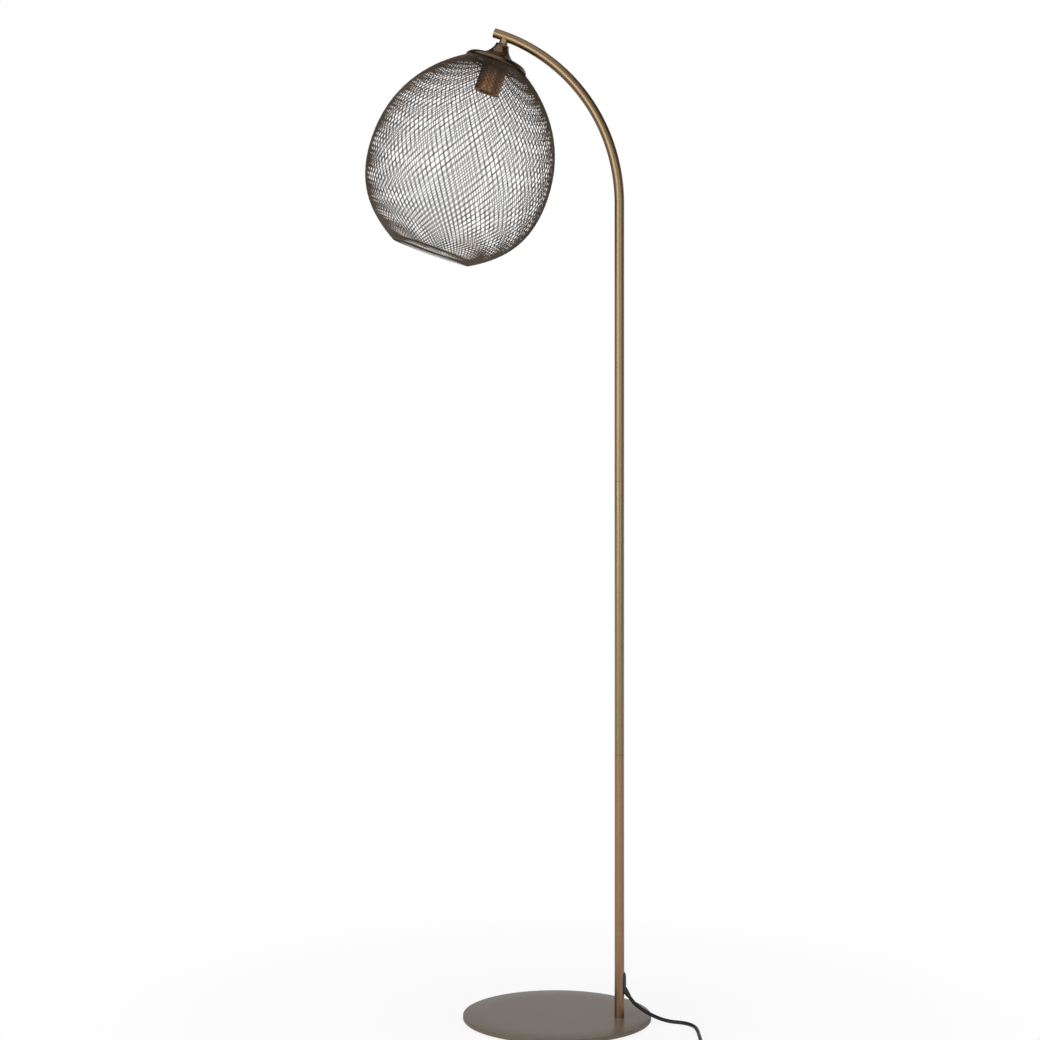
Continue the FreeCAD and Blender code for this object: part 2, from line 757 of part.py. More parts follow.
def ring_offset(wire):
    """How far inside the mid surface a ring's wire lies, so that the cage rests on it."""
    return -(size("cage_wire_diameter") + size("cage_layer_gap") * 1.5 + size("ring_gap") + wire / 2)


def ring_centre(at_top):
    """Radius and depth of a ring's wire, a little way in from the ends of the cage's wires."""
    wire = size("top_ring_wire" if at_top else "bottom_ring_wire")
    step = 0.0
    share = 0.0 if at_top else 1.0
    place = cage_profile(share)[0]
    while step < size("ring_setback"):
        share += 0.0005 if at_top else -0.0005
        after = cage_profile(share)[0]
        step += (after - place).Length
        place = after
    return offset_profile(share, ring_offset(wire))


def ring_centre_top():
    return ring_centre(True)


def cage_wire(outwards, hand):
    """One wire of the cage, wound at a steady slant to the upright lines of the shade, in
    short straight runs with mitred joints. Both layers have their corners at the same
    heights, so wires that cross keep their gap."""
    slant = math.tan(math.radians(size("cage_wire_slant"))) * hand
    runs = int(size("cage_wire_runs"))
    steps = 16
    corners = []
    turn = 0.0
    before = cage_profile(0)[0]
    for k in range(runs * steps + 1):
        place = cage_profile(k / (runs * steps))[0]
        turn += slant * (place - before).Length / ((place + before) / 2).x
        before = place
        if k % steps == 0:
            at = offset_profile(k / (runs * steps), outwards)
            corners.append(Vector(math.cos(turn) * at.x, math.sin(turn) * at.x, -at.y))
    spine = Part.makePolygon(corners)
    radius = size("cage_wire_diameter") / 2
    section = Part.Wire(Part.makeCircle(radius, corners[0], corners[1] - corners[0]))
    return spine.makePipeShell([section], True, False, 1)


def make_cage(carrier_top):
    offset = (size("cage_wire_diameter") + size("cage_layer_gap")) / 2
    count = int(size("cage_wire_count"))
    for side, outwards, hand in (("inner", -offset, 1), ("outer", offset, -1)):
        wire = cage_wire(outwards, hand)
        for first, half in enumerate(("even", "odd")):
            wires = []
            for k in range(first, count, 2):
                copy = wire.copy()
                copy.rotate(Vector(), Vector(0, 0, 1), 360 * k / count)
                wires.append(copy)
            layer = doc.addObject("Part::Feature", f"cage_wires_{side}_{half}")
            layer.Shape = Part.makeCompound(wires)
            keep(on_head(layer), f"cage_wires_{side}_{half}")

    for label, at_top in (("cage_top_ring", True), ("cage_bottom_ring", False)):
        centre = ring_centre(at_top)
        torus = doc.addObject("Part::Torus", label)
        torus.Radius1 = centre.x
        bind(torus, Radius2=f"Sizes.{'top' if at_top else 'bottom'}_ring_wire / 2")
        torus.Placement = Placement(Vector(0, 0, -centre.y), Rotation())
        keep(on_head(torus), label)

    arm_reach = ring_centre_top().x - size("top_ring_wire") / 2 - size("weld_gap")
    eye = cylinder(
        "carrier_eye", "Sizes.carrier_eye_diameter / 2", "Sizes.carrier_thickness",
        z=f"{carrier_top} - Sizes.carrier_thickness",
    )
    arms = []
    for k in range(3):
        arm = box(
            f"carrier_arm_{k}", f"{arm_reach}", "Sizes.carrier_arm_width",
            "Sizes.carrier_thickness",
        )
        low = value_of(f"{carrier_top} - Sizes.carrier_thickness")
        turned = Placement(Vector(), Rotation(Vector(0, 0, 1), 120 * k))
        arm.Placement = turned * Placement(
            Vector(0, -size("carrier_arm_width") / 2, low), Rotation(),
        )
        arms.append(arm)
    hole = stem_hole(
        "carrier_hole", "Sizes.carrier_thickness", f"{carrier_top} - Sizes.carrier_thickness",
    )
    spider = cut("carrier_with_hole", fuse("carrier_blank", eye, *arms), hole)
    limit = cylinder(
        "carrier_limit", f"{arm_reach}", "Sizes.carrier_thickness",
        z=f"{carrier_top} - Sizes.carrier_thickness",
    )
    trimmed = doc.addObject("Part::Common", "carrier_trimmed")
    trimmed.Base = spider
    trimmed.Tool = limit
    keep(on_head(trimmed), "cage_carrier")


# ---------------------------------------------------------------- lampholder

def make_lampholder(carrier_top):
    top = f"{carrier_top} - Sizes.carrier_thickness"
    mouth = "-Sizes.holder_mouth"
    outside = cylinder("cover_outside", "Sizes.holder_diameter / 2", f"{top} - ({mouth})", z=mouth)
    inside = cylinder(
        "cover_inside", "Sizes.holder_diameter / 2 - Sizes.holder_wall",
        f"{top} - ({mouth}) - Sizes.holder_wall", z=mouth,
    )
    hole = stem_hole("cover_hole", f"{top} - ({mouth})", mouth)
    cover = cut("cover_with_hole", cut("cover_shell", outside, inside), hole)
    keep(on_head(cover), "lampholder_cover")

    body_low = f"{mouth} + Sizes.holder_body_recess"
    body = cylinder(
        "holder_body", "Sizes.holder_diameter / 2 - Sizes.holder_wall",
        f"-Sizes.holder_body_top - ({body_low})", z=body_low,
    )
    shell_wall = "Sizes.socket_bore / 2 + Sizes.socket_shell_wall"
    well = cylinder("holder_well", shell_wall, "Sizes.socket_depth", z=body_low)
    keep(on_head(cut("holder_body_with_well", body, well)), "lampholder_body")

    shell = ring(
        "socket_shell", shell_wall, "Sizes.socket_bore / 2",
        "Sizes.socket_depth - Sizes.contact_thickness * 2", z=body_low,
    )
    keep(on_head(shell), "socket_shell")
    contact = cylinder(
        "centre_contact", "Sizes.contact_diameter / 2", "Sizes.contact_thickness",
        z=f"{body_low} + Sizes.socket_depth - Sizes.contact_thickness",
    )
    keep(on_head(contact), "centre_contact")
    terminals = doc.addObject("Part::Compound", "terminal_screws")
    terminals.Links = [
        cylinder(
            f"terminal_{k}", "Sizes.terminal_diameter / 2", "Sizes.terminal_height",
            x=f"{sign}Sizes.terminal_spread", z="-Sizes.holder_body_top",
        )
        for k, sign in enumerate(("", "-"))
    ]
    keep(on_head(terminals), "terminal_screws")


# ---------------------------------------------------------------- leads and cable inside

def make_leads():
    """The sheathed cable up the pole and arm, and two bare leads on through the stem."""
    pole_x = size("pole_offset")
    tail = arm_point(size("stub_inset") + size("cable_strip_length"))[0]
    bend_start = Vector(pole_x, 0, size("arm_bend_height"))
    cable_start, boss_end = INNER_ROUTE[-1], INNER_ROUTE[-2]
    points = [cable_start, cable_start + (cable_start - boss_end) * 0.8]
    points.append(Vector(pole_x, 0, points[-1].z + 20))
    edges = rounded_route(points + [Vector(pole_x, 0, points[-1].z + 25)], "inner_cable foot")
    low = Vector(pole_x, 0, points[-1].z + 25)
    edges.append(Part.LineSegment(low, bend_start).toShape())
    edges.append(arc_through(bend_start, Vector(0, 0, 1), tail))
    solid = tube_along(edges, points[0], points[1] - points[0], size("cord_diameter") / 2)
    cable = doc.addObject("Part::Feature", "inner_cable")
    cable.Shape = solid
    keep(cable, "inner_cable")

    spread, radius = size("lead_spread"), size("lead_diameter") / 2
    turn_radius = size("lead_turn_radius")
    down = HEAD_PLACE.Rotation.multVec(Vector(0, 0, -1))
    arm_leads = []
    socket_leads = []
    handover = STUB_POINT + down * (size("stem_top") + 1.0)
    for side in (-spread, spread):
        aside = Vector(0, side, 0)
        corner = STUB_POINT + aside
        start = tail + aside
        into = (corner - start).normalize()
        reach = turn_radius * math.tan(into.getAngle(down) / 2)
        leave, arrive = corner - into * reach, corner + down * reach
        edges = [
            Part.LineSegment(start, leave).toShape(), arc_through(leave, into, arrive),
            Part.LineSegment(arrive, handover + aside).toShape(),
        ]
        arm_leads.append(tube_along(edges, start, into, radius))
        floor_of_holder = STUB_POINT + down * size("holder_body_top") + aside
        inner = Part.LineSegment(handover + aside, floor_of_holder).toShape()
        socket_leads.append(tube_along([inner], handover + aside, down, radius))
    for label, solids in (("arm_leads", arm_leads), ("socket_leads", socket_leads)):
        pair = doc.addObject("Part::Feature", label)
        pair.Shape = Part.makeCompound(solids)
        keep(pair, label)


# ---------------------------------------------------------------- cord outlet and cord

POLE_X = size("pole_offset")
CORD_RADIUS = size("cord_diameter") / 2
FLOOR_LEVEL = CORD_RADIUS

# Routes, point by point: (out from the pole's axis, sideways, up).
INNER_ROUTE = [Vector(POLE_X + 15.5, 0, 40.0), Vector(POLE_X + 7.0, 0, 52.05),
               Vector(POLE_X + 2.5, 0, 66.0)]
LEAD_ROUTE = [
    (15.5, 0, 40.0), (20.5, 0, 32.9), (28, 0, 26.0), (38, 0, 18.9), (50.5, 0, 12.3),
    (65, 0, 6.3), (82, -0.5, 2.9), (99, -2.5, 2.9), (113, -11, 2.9), (122.5, -26, 2.9),
    (127, -45, 2.9), (130.5, -66, 2.9), (134, -88, 2.9), (137, -111, 2.9), (140, -135, 2.9),
    (142, -157, 2.9),
]


def from_pole(x, y, z):
    return Vector(POLE_X + x, y, max(z, FLOOR_LEVEL))


def turn_into_switch():
    """Corners of the cord's last quarter turn, from heading towards -Y to heading along -X."""
    tip = boot_tip(1)
    radius = size("switch_turn_radius")
    centre = tip + Vector(size("switch_lead_straight"), radius, 0)
    corners = []
    for degrees, lowered in ((15, 0.78), (45, 0.27), (75, 0.0)):
        angle = math.radians(degrees)
        away = Vector(math.cos(angle), -math.sin(angle), 0) * (radius / math.cos(math.pi / 12))
        height = tip.z - (tip.z - FLOOR_LEVEL) * lowered
        corners.append(Vector(centre.x + away.x, centre.y + away.y, height))
    start = Vector(corners[0].x + 0.5, corners[0].y + 0.55 * radius, FLOOR_LEVEL)
    return [start] + corners + [tip]


def place_along(piece, start, towards):
    piece.Placement = Placement(start, Rotation(Vector(0, 0, 1), towards - start))
    return piece


def make_outlet():
    """The moulded hood and tapered nose where the cord leaves the foot of the pole."""
    tip, knee, inner = INNER_ROUTE
    gap = "Sizes.outlet_clearance"
    hood = slot_block(
        "hood_blank", "Sizes.hood_width", "Sizes.hood_height", "Sizes.hood_bottom",
        f"({TUBE_RADIUS}) / 2", f"({TUBE_RADIUS}) + Sizes.hood_thickness",
    )
    nose = cone(
        "nose", "Sizes.nose_root_radius", "Sizes.nose_tip_radius", f"{(tip - knee).Length}",
    )
    place_along(nose, knee, tip)
    pole = cylinder(
        "pole_outside", f"{TUBE_RADIUS} + Sizes.hood_seat_gap",
        "2 * Sizes.hood_height + Sizes.hood_bottom", "Sizes.pole_offset",
    )
    outside = cut("hood_outside", fuse("hood_and_nose", hood, nose), pole)
    plug = slot_block(
        "slot_plug", f"Sizes.outlet_slot_width - 2 * {gap}",
        f"Sizes.outlet_slot_height - 2 * {gap}", f"Sizes.outlet_slot_bottom + {gap}",
        f"({TUBE_BORE}) - 1", f"({TUBE_RADIUS}) + 0.5",
    )
    boss = cylinder("inner_boss", "Sizes.inner_boss_radius", f"{(inner - knee).Length}")
    place_along(boss, knee, inner)
    keep(fuse("outlet_moulding", outside, plug, boss), "cord_outlet")


def coil_point(turned):
    """A point of the coil's centre line and its heading, by the angle wound so far. The turns
    spiral in on the floor, climb a layer in half a turn and spiral out again on top."""
    pitch = size("cord_diameter") + size("coil_gap")
    layer_turns = size("coil_turns_in_layer")
    turns = turned / (2 * math.pi)
    low = FLOOR_LEVEL + size("coil_lift")
    outer = size("coil_outer_radius")
    inner = outer - pitch * layer_turns
    if turns <= layer_turns:
        radius, height, inwards, climb = outer - pitch * turns, low, -pitch, 0.0
    elif turns <= layer_turns + 0.5:
        share = (turns - layer_turns) * 2
        radius = inner - pitch / 4 * math.sin(math.pi * share) / math.pi * 2
        inwards = -pitch * math.cos(math.pi * share)
        height = low + pitch * (1 - math.cos(math.pi * share)) / 2
        climb = pitch * math.pi * math.sin(math.pi * share)
    else:
        radius = inner + pitch * (turns - layer_turns - 0.5)
        height, inwards, climb = low + pitch, pitch, 0.0
    angle = turned + COIL_START
    away = Vector(math.cos(angle), math.sin(angle), 0)
    around = Vector(-math.sin(angle), math.cos(angle), 0)
    centre = Vector(size("coil_centre_x"), size("coil_centre_y"), height)
    heading = around * radius + away * (inwards / (2 * math.pi))
    heading = heading + Vector(0, 0, climb / (2 * math.pi))
    return centre + away * radius, heading.normalize()


COIL_START = math.radians(90)
COIL_TURNS = 2 * size("coil_turns_in_layer") + 0.5


def coil_self_gap():
    """The least clear space between turns of the coil, from points along it."""
    points = [coil_point(2 * math.pi * COIL_TURNS * k / 520)[0] for k in range(521)]
    away = int(520 / COIL_TURNS * 0.5)
    gaps = [
        (points[i] - points[j]).Length
        for i in range(0, 521, 2) for j in range(i + away, 521)
    ]
    return min(gaps) - size("cord_diameter")


def make_coil():
    steps = int(COIL_TURNS * 4)
    knots = [coil_point(2 * math.pi * COIL_TURNS * k / steps) for k in range(steps + 1)]
    edges = []
    for (start, leave), (end, arrive) in zip(knots, knots[1:]):
        edges += biarc(start, leave, end, arrive)
    print(f"cord_coil: length {sum(e.Length for e in edges):.0f}, "
          f"least gap to itself {coil_self_gap():.2f}")
    piece = doc.addObject("Part::Feature", "cord_coil")
    piece.Shape = tube_along(edges, knots[0][0], knots[0][1], CORD_RADIUS)
    keep(piece, "cord_coil")

    pitch = size("cord_diameter") + size("coil_gap")
    turns = size("coil_turns_in_layer")
    clear, skin = size("tie_clearance"), size("tie_thickness")
    outer = size("coil_outer_radius") + CORD_RADIUS + clear
    inner = size("coil_outer_radius") - pitch * (turns + 0.5) - CORD_RADIUS - clear
    low = FLOOR_LEVEL + size("coil_lift") - CORD_RADIUS - clear
    high = low + pitch + size("cord_diameter") + 2 * clear
    centre = Vector(size("coil_centre_x"), size("coil_centre_y"), 0)
    width = size("tie_width")

    def strap(grow):
        blank = doc.addObject("Part::Box", "strap")
        blank.Length = outer - inner + 2 * grow
        blank.Width = width
        blank.Height = high - low + 2 * grow
        corner = Vector(-outer - grow, -width / 2, low - grow)
        blank.Placement = Placement(centre + corner, Rotation())
        return blank

    keep(cut("strap_loop", strap(skin), strap(0)), "cord_tie")
    return knots[0], knots[-1]


# ---------------------------------------------------------------- foot switch

SWITCH_X, SWITCH_Y = size("switch_x"), size("switch_y")
PARTING = size("switch_base_height")


def make_switch():
    x, y = "Sizes.switch_x", "Sizes.switch_y"
    wall = "Sizes.switch_wall"
    length, width = "Sizes.switch_length", "Sizes.switch_width"
    base_height, cover_height = "Sizes.switch_base_height", "Sizes.switch_cover_height"
    inner_length, inner_width = f"{length} - 2 * {wall}", f"{width} - 2 * {wall}"

    def boot_hole(name):
        hole = cylinder(name, "Sizes.boot_root_radius", f"{length} + 4")
        start = Vector(SWITCH_X - size("switch_length") / 2 - 2, SWITCH_Y, PARTING)
        return place_along(hole, start, start + Vector(1, 0, 0))

    def bosses(name, low, height):
        return [
            cylinder(f"{name}_{k}", "Sizes.switch_boss_radius", height,
                     f"{x} {sign} Sizes.switch_screw_spread / 2", y, low)
            for k, sign in enumerate("+-")
        ]

    base = stadium("switch_base_outside", length, width, base_height, x, y, "0")
    base_well = stadium("switch_base_inside", inner_length, inner_width, base_height, x, y, wall)
    base_shell = cut("switch_base_shell", base, base_well)
    screw_holes = fuse("switch_screw_holes", *[
        cylinder(
            f"switch_screw_hole_{k}", "Sizes.switch_screw_diameter / 2 + Sizes.thread_clearance",
            f"{base_height} + {cover_height} / 2", f"{x} {sign} Sizes.switch_screw_spread / 2", y, "0",
        )
        for k, sign in enumerate("+-")
    ], *[
        cylinder(
            f"switch_screw_sink_{k}", "Sizes.switch_screw_head / 2 + Sizes.thread_clearance",
            f"{wall} / 2", f"{x} {sign} Sizes.switch_screw_spread / 2", y, "0",
        )
        for k, sign in enumerate("+-")
    ])
    base_ways = fuse("base_ways", screw_holes, boot_hole("base_boot_hole"))
    base_shell = fuse("switch_base_bossed", base_shell, *bosses("base_boss", "0", base_height))
    keep(cut("switch_base_cut", base_shell, base_ways), "foot_switch_base")

    doc.recompute()
    block = stadium("switch_cover_outside", length, width, cover_height, x, y, base_height)
    doc.recompute()
    top = PARTING + size("switch_cover_height")
    rounded = doc.addObject("Part::Fillet", "switch_cover_rounded")
    rounded.Base = block
    radius = size("switch_edge_fillet")
    rounded.Edges = [
        (k, radius, radius) for k, edge in enumerate(block.Shape.Edges, start=1)
        if min(v.Z for v in edge.Vertexes) > top - 0.01
    ]
    cover_well = stadium(
        "switch_cover_inside", inner_length, inner_width, f"{cover_height} - {wall}", x, y,
        base_height,
    )
    button_hole = cylinder(
        "button_hole", "Sizes.switch_button_diameter / 2 + Sizes.switch_button_clearance",
        f"{base_height} + {cover_height}", x, y,
    )
    cover_shell = cut("switch_cover_shell", rounded, cover_well)
    cover_bosses = bosses("cover_boss", base_height, f"{cover_height} - {wall} / 2")
    bossed = fuse("switch_cover_bossed", cover_shell, *cover_bosses)
    cover_ways = fuse("cover_ways", button_hole, screw_holes, boot_hole("cover_boot_hole"))
    keep(cut("switch_cover_cut", bossed, cover_ways), "foot_switch_cover")

    posts = doc.addObject("Part::Compound", "switch_screws")
    posts.Links = [
        fuse(
            f"switch_screw_{k}",
            cylinder(
                f"switch_screw_shank_{k}", "Sizes.switch_screw_diameter / 2",
                f"{base_height} + {cover_height} / 3",
                f"{x} {sign} Sizes.switch_screw_spread / 2", y, "0.1",
            ),
            cylinder(
                f"switch_screw_head_{k}", "Sizes.switch_screw_head / 2", f"{wall} / 2 - 0.1",
                f"{x} {sign} Sizes.switch_screw_spread / 2", y, "0.1",
            ),
        )
        for k, sign in enumerate("+-")
    ]
    keep(posts, "foot_switch_screws")

    flange_top = f"{base_height} + {cover_height} - {wall}"
    button_top = f"{base_height} + {cover_height} + Sizes.switch_button_rise"
    stem = cylinder(
        "button_stem", "Sizes.switch_button_diameter / 2",
        f"{button_top} - ({flange_top}) + Sizes.switch_flange_thickness",
        x, y, f"{flange_top} - Sizes.switch_flange_thickness",
    )
    flange = cylinder(
        "button_flange", "Sizes.switch_button_diameter / 2 + Sizes.switch_flange_reach",
        "Sizes.switch_flange_thickness", x, y, f"{flange_top} - Sizes.switch_flange_thickness",
    )
    cap = fuse("button_blank", stem, flange)
    doc.recompute()
    crown = doc.addObject("Part::Fillet", "button_rounded")
    crown.Base = cap
    highest = value_of(button_top)
    crown.Edges = [
        (k, 2.0, 2.0) for k, edge in enumerate(cap.Shape.Edges, start=1)
        if abs(edge.BoundBox.ZMin - highest) < 0.01
    ]
    keep(crown, "foot_switch_button")

    block = box(
        "switch_block", "Sizes.switch_block_length", "Sizes.switch_block_width",
        "Sizes.switch_block_height", f"{x} - Sizes.switch_block_length / 2",
        f"{y} - Sizes.switch_block_width / 2", wall,
    )
    keep(block, "foot_switch_contacts")

    spring_low = size("switch_wall") + size("switch_block_height")
    spring_high = value_of(f"{flange_top} - Sizes.switch_flange_thickness")
    wire = size("switch_spring_wire")
    coils = 3
    rise = spring_high - spring_low - wire
    edges = []
    knots = []
    radius = size("switch_spring_diameter") / 2 - wire / 2
    for k in range(coils * 4 + 1):
        angle = math.pi / 2 * k
        away = Vector(math.cos(angle), math.sin(angle), 0)
        around = Vector(-math.sin(angle), math.cos(angle), 0)
        height = spring_low + wire / 2 + rise * k / (coils * 4)
        slope = Vector(0, 0, rise / (coils * 2 * math.pi))
        at = Vector(SWITCH_X, SWITCH_Y, height) + away * radius
        knots.append((at, (around * radius + slope).normalize()))
    for (start, leave), (end, arrive) in zip(knots, knots[1:]):
        edges += biarc(start, leave, end, arrive)
    spring = doc.addObject("Part::Feature", "switch_spring")
    spring.Shape = tube_along(edges, knots[0][0], knots[0][1], wire / 2 - 0.02)
    keep(spring, "foot_switch_spring")

    boots = []
    for sign in (1, -1):
        face = Vector(SWITCH_X + sign * (size("switch_length") / 2 - size("switch_wall") - 1),
                      SWITCH_Y, PARTING)
        mouth = Vector(SWITCH_X + sign * size("switch_length") / 2, SWITCH_Y, PARTING)
        outwards = Vector(sign, 0, 0)
        root = cylinder(
            f"boot_root_{sign + 1}", "Sizes.boot_root_radius - Sizes.outlet_clearance",
            "Sizes.switch_wall + 1",
        )
        taper = cone(
            f"boot_taper_{sign + 1}", "Sizes.boot_root_radius - Sizes.outlet_clearance",
            "Sizes.boot_tip_radius", "Sizes.boot_length",
        )
        place_along(root, face, face + outwards)
        place_along(taper, mouth, mouth + outwards)
        boots.append(fuse(f"boot_{sign + 1}", root, taper))
    pair = doc.addObject("Part::Compound", "switch_boots")
    pair.Links = boots
    keep(pair, "foot_switch_boots")


def boot_tip(sign):
    reach = size("switch_length") / 2 + size("boot_length")
    return Vector(SWITCH_X + sign * reach, SWITCH_Y, PARTING)


# ---------------------------------------------------------------- plug

def make_plug(start):
    """A flat two pin plug lying beside the coil, its cord end at start, pointing along +X."""
    height = size("plug_thickness") / 2
    body_x = f"{start.x} + Sizes.plug_boot_length"
    y, width = f"{start.y}", "Sizes.plug_width"
    across = "Sizes.plug_thickness"
    middle = box(
        "plug_middle", "Sizes.plug_length", f"{width} - {across}", across,
        body_x, f"{y} - ({width} - {across}) / 2", "0",
    )
    sides = []
    for k, sign in enumerate("+-"):
        side = cylinder(f"plug_side_{k}", f"{across} / 2", "Sizes.plug_length")
        sideways = (size("plug_width") - size("plug_thickness")) / 2 * (1 if sign == "+" else -1)
        foot = Vector(start.x + size("plug_boot_length"), start.y + sideways, height)
        sides.append(place_along(side, foot, foot + Vector(1, 0, 0)))
    keep(fuse("plug_blank", middle, *sides), "plug_body")
    boot = cone("plug_boot_cone", "Sizes.boot_tip_radius", "Sizes.boot_root_radius",
                "Sizes.plug_boot_length")
    low = Vector(start.x, start.y, height)
    keep(place_along(boot, low, low + Vector(1, 0, 0)), "plug_boot")
    pins = []
    for k, sign in enumerate((1, -1)):
        pin = cylinder(f"plug_pin_{k}", "Sizes.plug_pin_diameter / 2", "Sizes.plug_pin_length")
        foot = low + Vector(size("plug_boot_length") + size("plug_length"),
                            sign * size("plug_pin_spread") / 2, 0)
        pins.append(place_along(pin, foot, foot + Vector(1, 0, 0)))
    pair = doc.addObject("Part::Compound", "plug_pins")
    pair.Links = pins
    keep(pair, "plug_pins")


# ---------------------------------------------------------------- the whole lamp

def make_cords():
    (coil_start, coil_heading), (coil_end, end_heading) = make_coil()
    lead = [from_pole(*point) for point in LEAD_ROUTE]
    cord_piece("cord_lead", lead + turn_into_switch(), CORD_RADIUS)
    left = boot_tip(-1)
    ahead = coil_start - coil_heading * 16
    middle = [left, left + Vector(-12, 0, 0), ahead + Vector(14, 0, 0), ahead, coil_start]
    cord_piece("cord_middle", middle, CORD_RADIUS)
    plug_height = size("plug_thickness") / 2
    away = coil_end + end_heading * 15
    last = Vector(away.x + 34, away.y + 0.6, plug_height)
    end = [coil_end, away, Vector(away.x + 17, away.y + 0.9, plug_height + 1.0), last]
    end.append(Vector(last.x + 15, last.y, plug_height))
    cord_piece("cord_end", end, CORD_RADIUS)
    make_plug(end[-1])


def report_faults():
    """Stops if any object failed or any sub-part's shape is empty or broken."""
    doc.recompute()
    faults = [o.Name for o in doc.Objects if {"Invalid", "Error"} & set(o.State)]
    for piece in SUB_PARTS:
        shape = piece.Shape
        if shape.isNull() or not shape.isValid() or not shape.Solids:
            faults.append(piece.Label)
    if faults:
        raise RuntimeError("failed pieces: " + ", ".join(faults))


make_base()
make_pole()
make_arm()
carrier_level = make_cap()
make_cage(carrier_level)
make_lampholder(carrier_level)
make_leads()
make_outlet()
make_switch()
make_cords()
report_faults()
os.makedirs("parts", exist_ok=True)
for sub_part in SUB_PARTS:
    sub_part.Shape.exportStep(f"parts/{sub_part.Label}.step")
print(len(SUB_PARTS), "sub-parts written")
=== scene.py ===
import math

import bmesh
import bpy
from bpy.props import FloatProperty, FloatVectorProperty, IntProperty, PointerProperty
from mathutils import Matrix, Vector


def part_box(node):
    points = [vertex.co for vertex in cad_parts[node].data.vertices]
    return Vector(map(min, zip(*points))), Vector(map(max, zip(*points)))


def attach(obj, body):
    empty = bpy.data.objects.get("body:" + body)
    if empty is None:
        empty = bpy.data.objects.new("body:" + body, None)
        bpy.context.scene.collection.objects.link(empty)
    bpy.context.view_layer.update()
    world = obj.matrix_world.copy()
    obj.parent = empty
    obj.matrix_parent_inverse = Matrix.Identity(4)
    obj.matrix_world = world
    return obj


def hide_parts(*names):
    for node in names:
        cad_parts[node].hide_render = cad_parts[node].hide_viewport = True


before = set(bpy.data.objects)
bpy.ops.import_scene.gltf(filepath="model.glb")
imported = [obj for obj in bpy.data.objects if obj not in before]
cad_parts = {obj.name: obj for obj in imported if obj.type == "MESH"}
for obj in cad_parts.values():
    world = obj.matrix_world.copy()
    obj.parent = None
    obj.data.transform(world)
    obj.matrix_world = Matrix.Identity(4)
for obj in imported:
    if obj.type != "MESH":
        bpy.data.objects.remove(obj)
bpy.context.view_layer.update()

bl_info = {
    "name": "Wire cage floor lamp",
    "version": (1, 0, 0),
    "blender": (4, 2, 0),
    "location": "View3D > Sidebar > Lamp",
    "description": "Builds the looks of a bronze floor lamp with a shade of crossed wires",
    "category": "Object",
}

# Sizes are in millimetres unless a comment says otherwise; MM turns them into metres.
MM = 0.001
PLATE_BOTTOM, PLATE_TOP = 1.2, 7.2
PLATE_EDGE = 0.8
POLE_X = 100.0
TUBE_WALL = 1.2
TUBE_CHAMFER = 0.3
LOWER_JOINT, UPPER_JOINT = 422.5, 856.2
BEND_HEIGHT = 1296.7
BEND_RADIUS = 295.0
BEND_ANGLE = math.radians(70.4)
ARM_STRAIGHT_END = 6
HEAD_TILT = math.radians(19.6)
# The stub hangs 13.5 mm before the end of the bend, here as an angle round its centre.
STUB_BACK = 13.5 / BEND_RADIUS
STUB_POINT = Vector((
    POLE_X - BEND_RADIUS * (1 - math.cos(BEND_ANGLE - STUB_BACK)), 0,
    BEND_HEIGHT + BEND_RADIUS * math.sin(BEND_ANGLE - STUB_BACK),
))
# The head's own frame: origin where its stem's axis crosses the arm's, +Z up the stem.
HEAD = Matrix.Translation(STUB_POINT * MM) @ Matrix.Rotation(HEAD_TILT, 4, "Y")

# Heights in the head's frame.
CAP_TOP = -13.8
HOLDER_TOP, HOLDER_MOUTH = -50.86, -94.0
# The shade's outline runs through three points, (radius, depth under the arm). The four
# arrows after them shape the two curves between: out of the top, into and out of the
# widest point, and into the bottom.
SHADE_TOP = Vector((44.8, 45.9))
SHADE_WIDEST = Vector((148.4, 222.2))
SHADE_BOTTOM = Vector((64.4, 363.4))
SHADE_LEAVES = Vector((math.cos(math.radians(30.9)), math.sin(math.radians(30.9)))) * 55.6
SHADE_SWELLS = Vector((0, 92.8))
SHADE_SHRINKS = Vector((0, 73.5))
SHADE_ARRIVES = Vector((-math.cos(math.radians(30.2)), math.sin(math.radians(30.2)))) * 60
# How far inside or outside the outline each layer of wires runs.
LAYER_OFFSET = 0.7
# Each ring: radius, depth under the arm and thickness of its wire.
RING_TOP = (45.76, 50.11, 3.0)
RING_BOTTOM = (65.34, 359.02, 3.4)

# On the floor, in front of the base.
SWITCH_CENTRE = (136, -218.5)
SWITCH_HALF_LENGTH = 43
SWITCH_ROUND = 19
CORD_IN_SWITCH = 8.0
COIL_CENTRE = (4.0, -262.0)
COIL_TURNS_IN_A_LAYER = 3
COIL_TURNS = 6.5

# Camera place in metres, its heading and its lens, fitted to the photograph.
CAMERA_PLACE = (0.4309, -2.9331, 0.7952)
CAMERA_HEADING = math.radians(9.5)
CAMERA_LENS = 64.3
SENSOR_WIDTH = 36
# Area lights: name, place and aim in metres, watts, width and height in metres.
LIGHTS = (
    ("key", (-1.6, -3.0, 1.5), (0, 0, 0.8), 26, 1.8, 2.0),
    ("fill", (1.9, -3.0, 1.3), (0, 0, 0.9), 7, 1.2, 2.0),
    ("top", (-0.2, -0.6, 3.4), (0, 0, 0), 12, 2.4, 2.4),
)
WHITE = (1, 1, 1, 1)


def paint(red, green, blue):
    """A colour in the display's 0 to 255 as the linear numbers that materials hold."""
    return [((c / 255 + 0.055) / 1.055) ** 2.4 for c in (red, green, blue)]


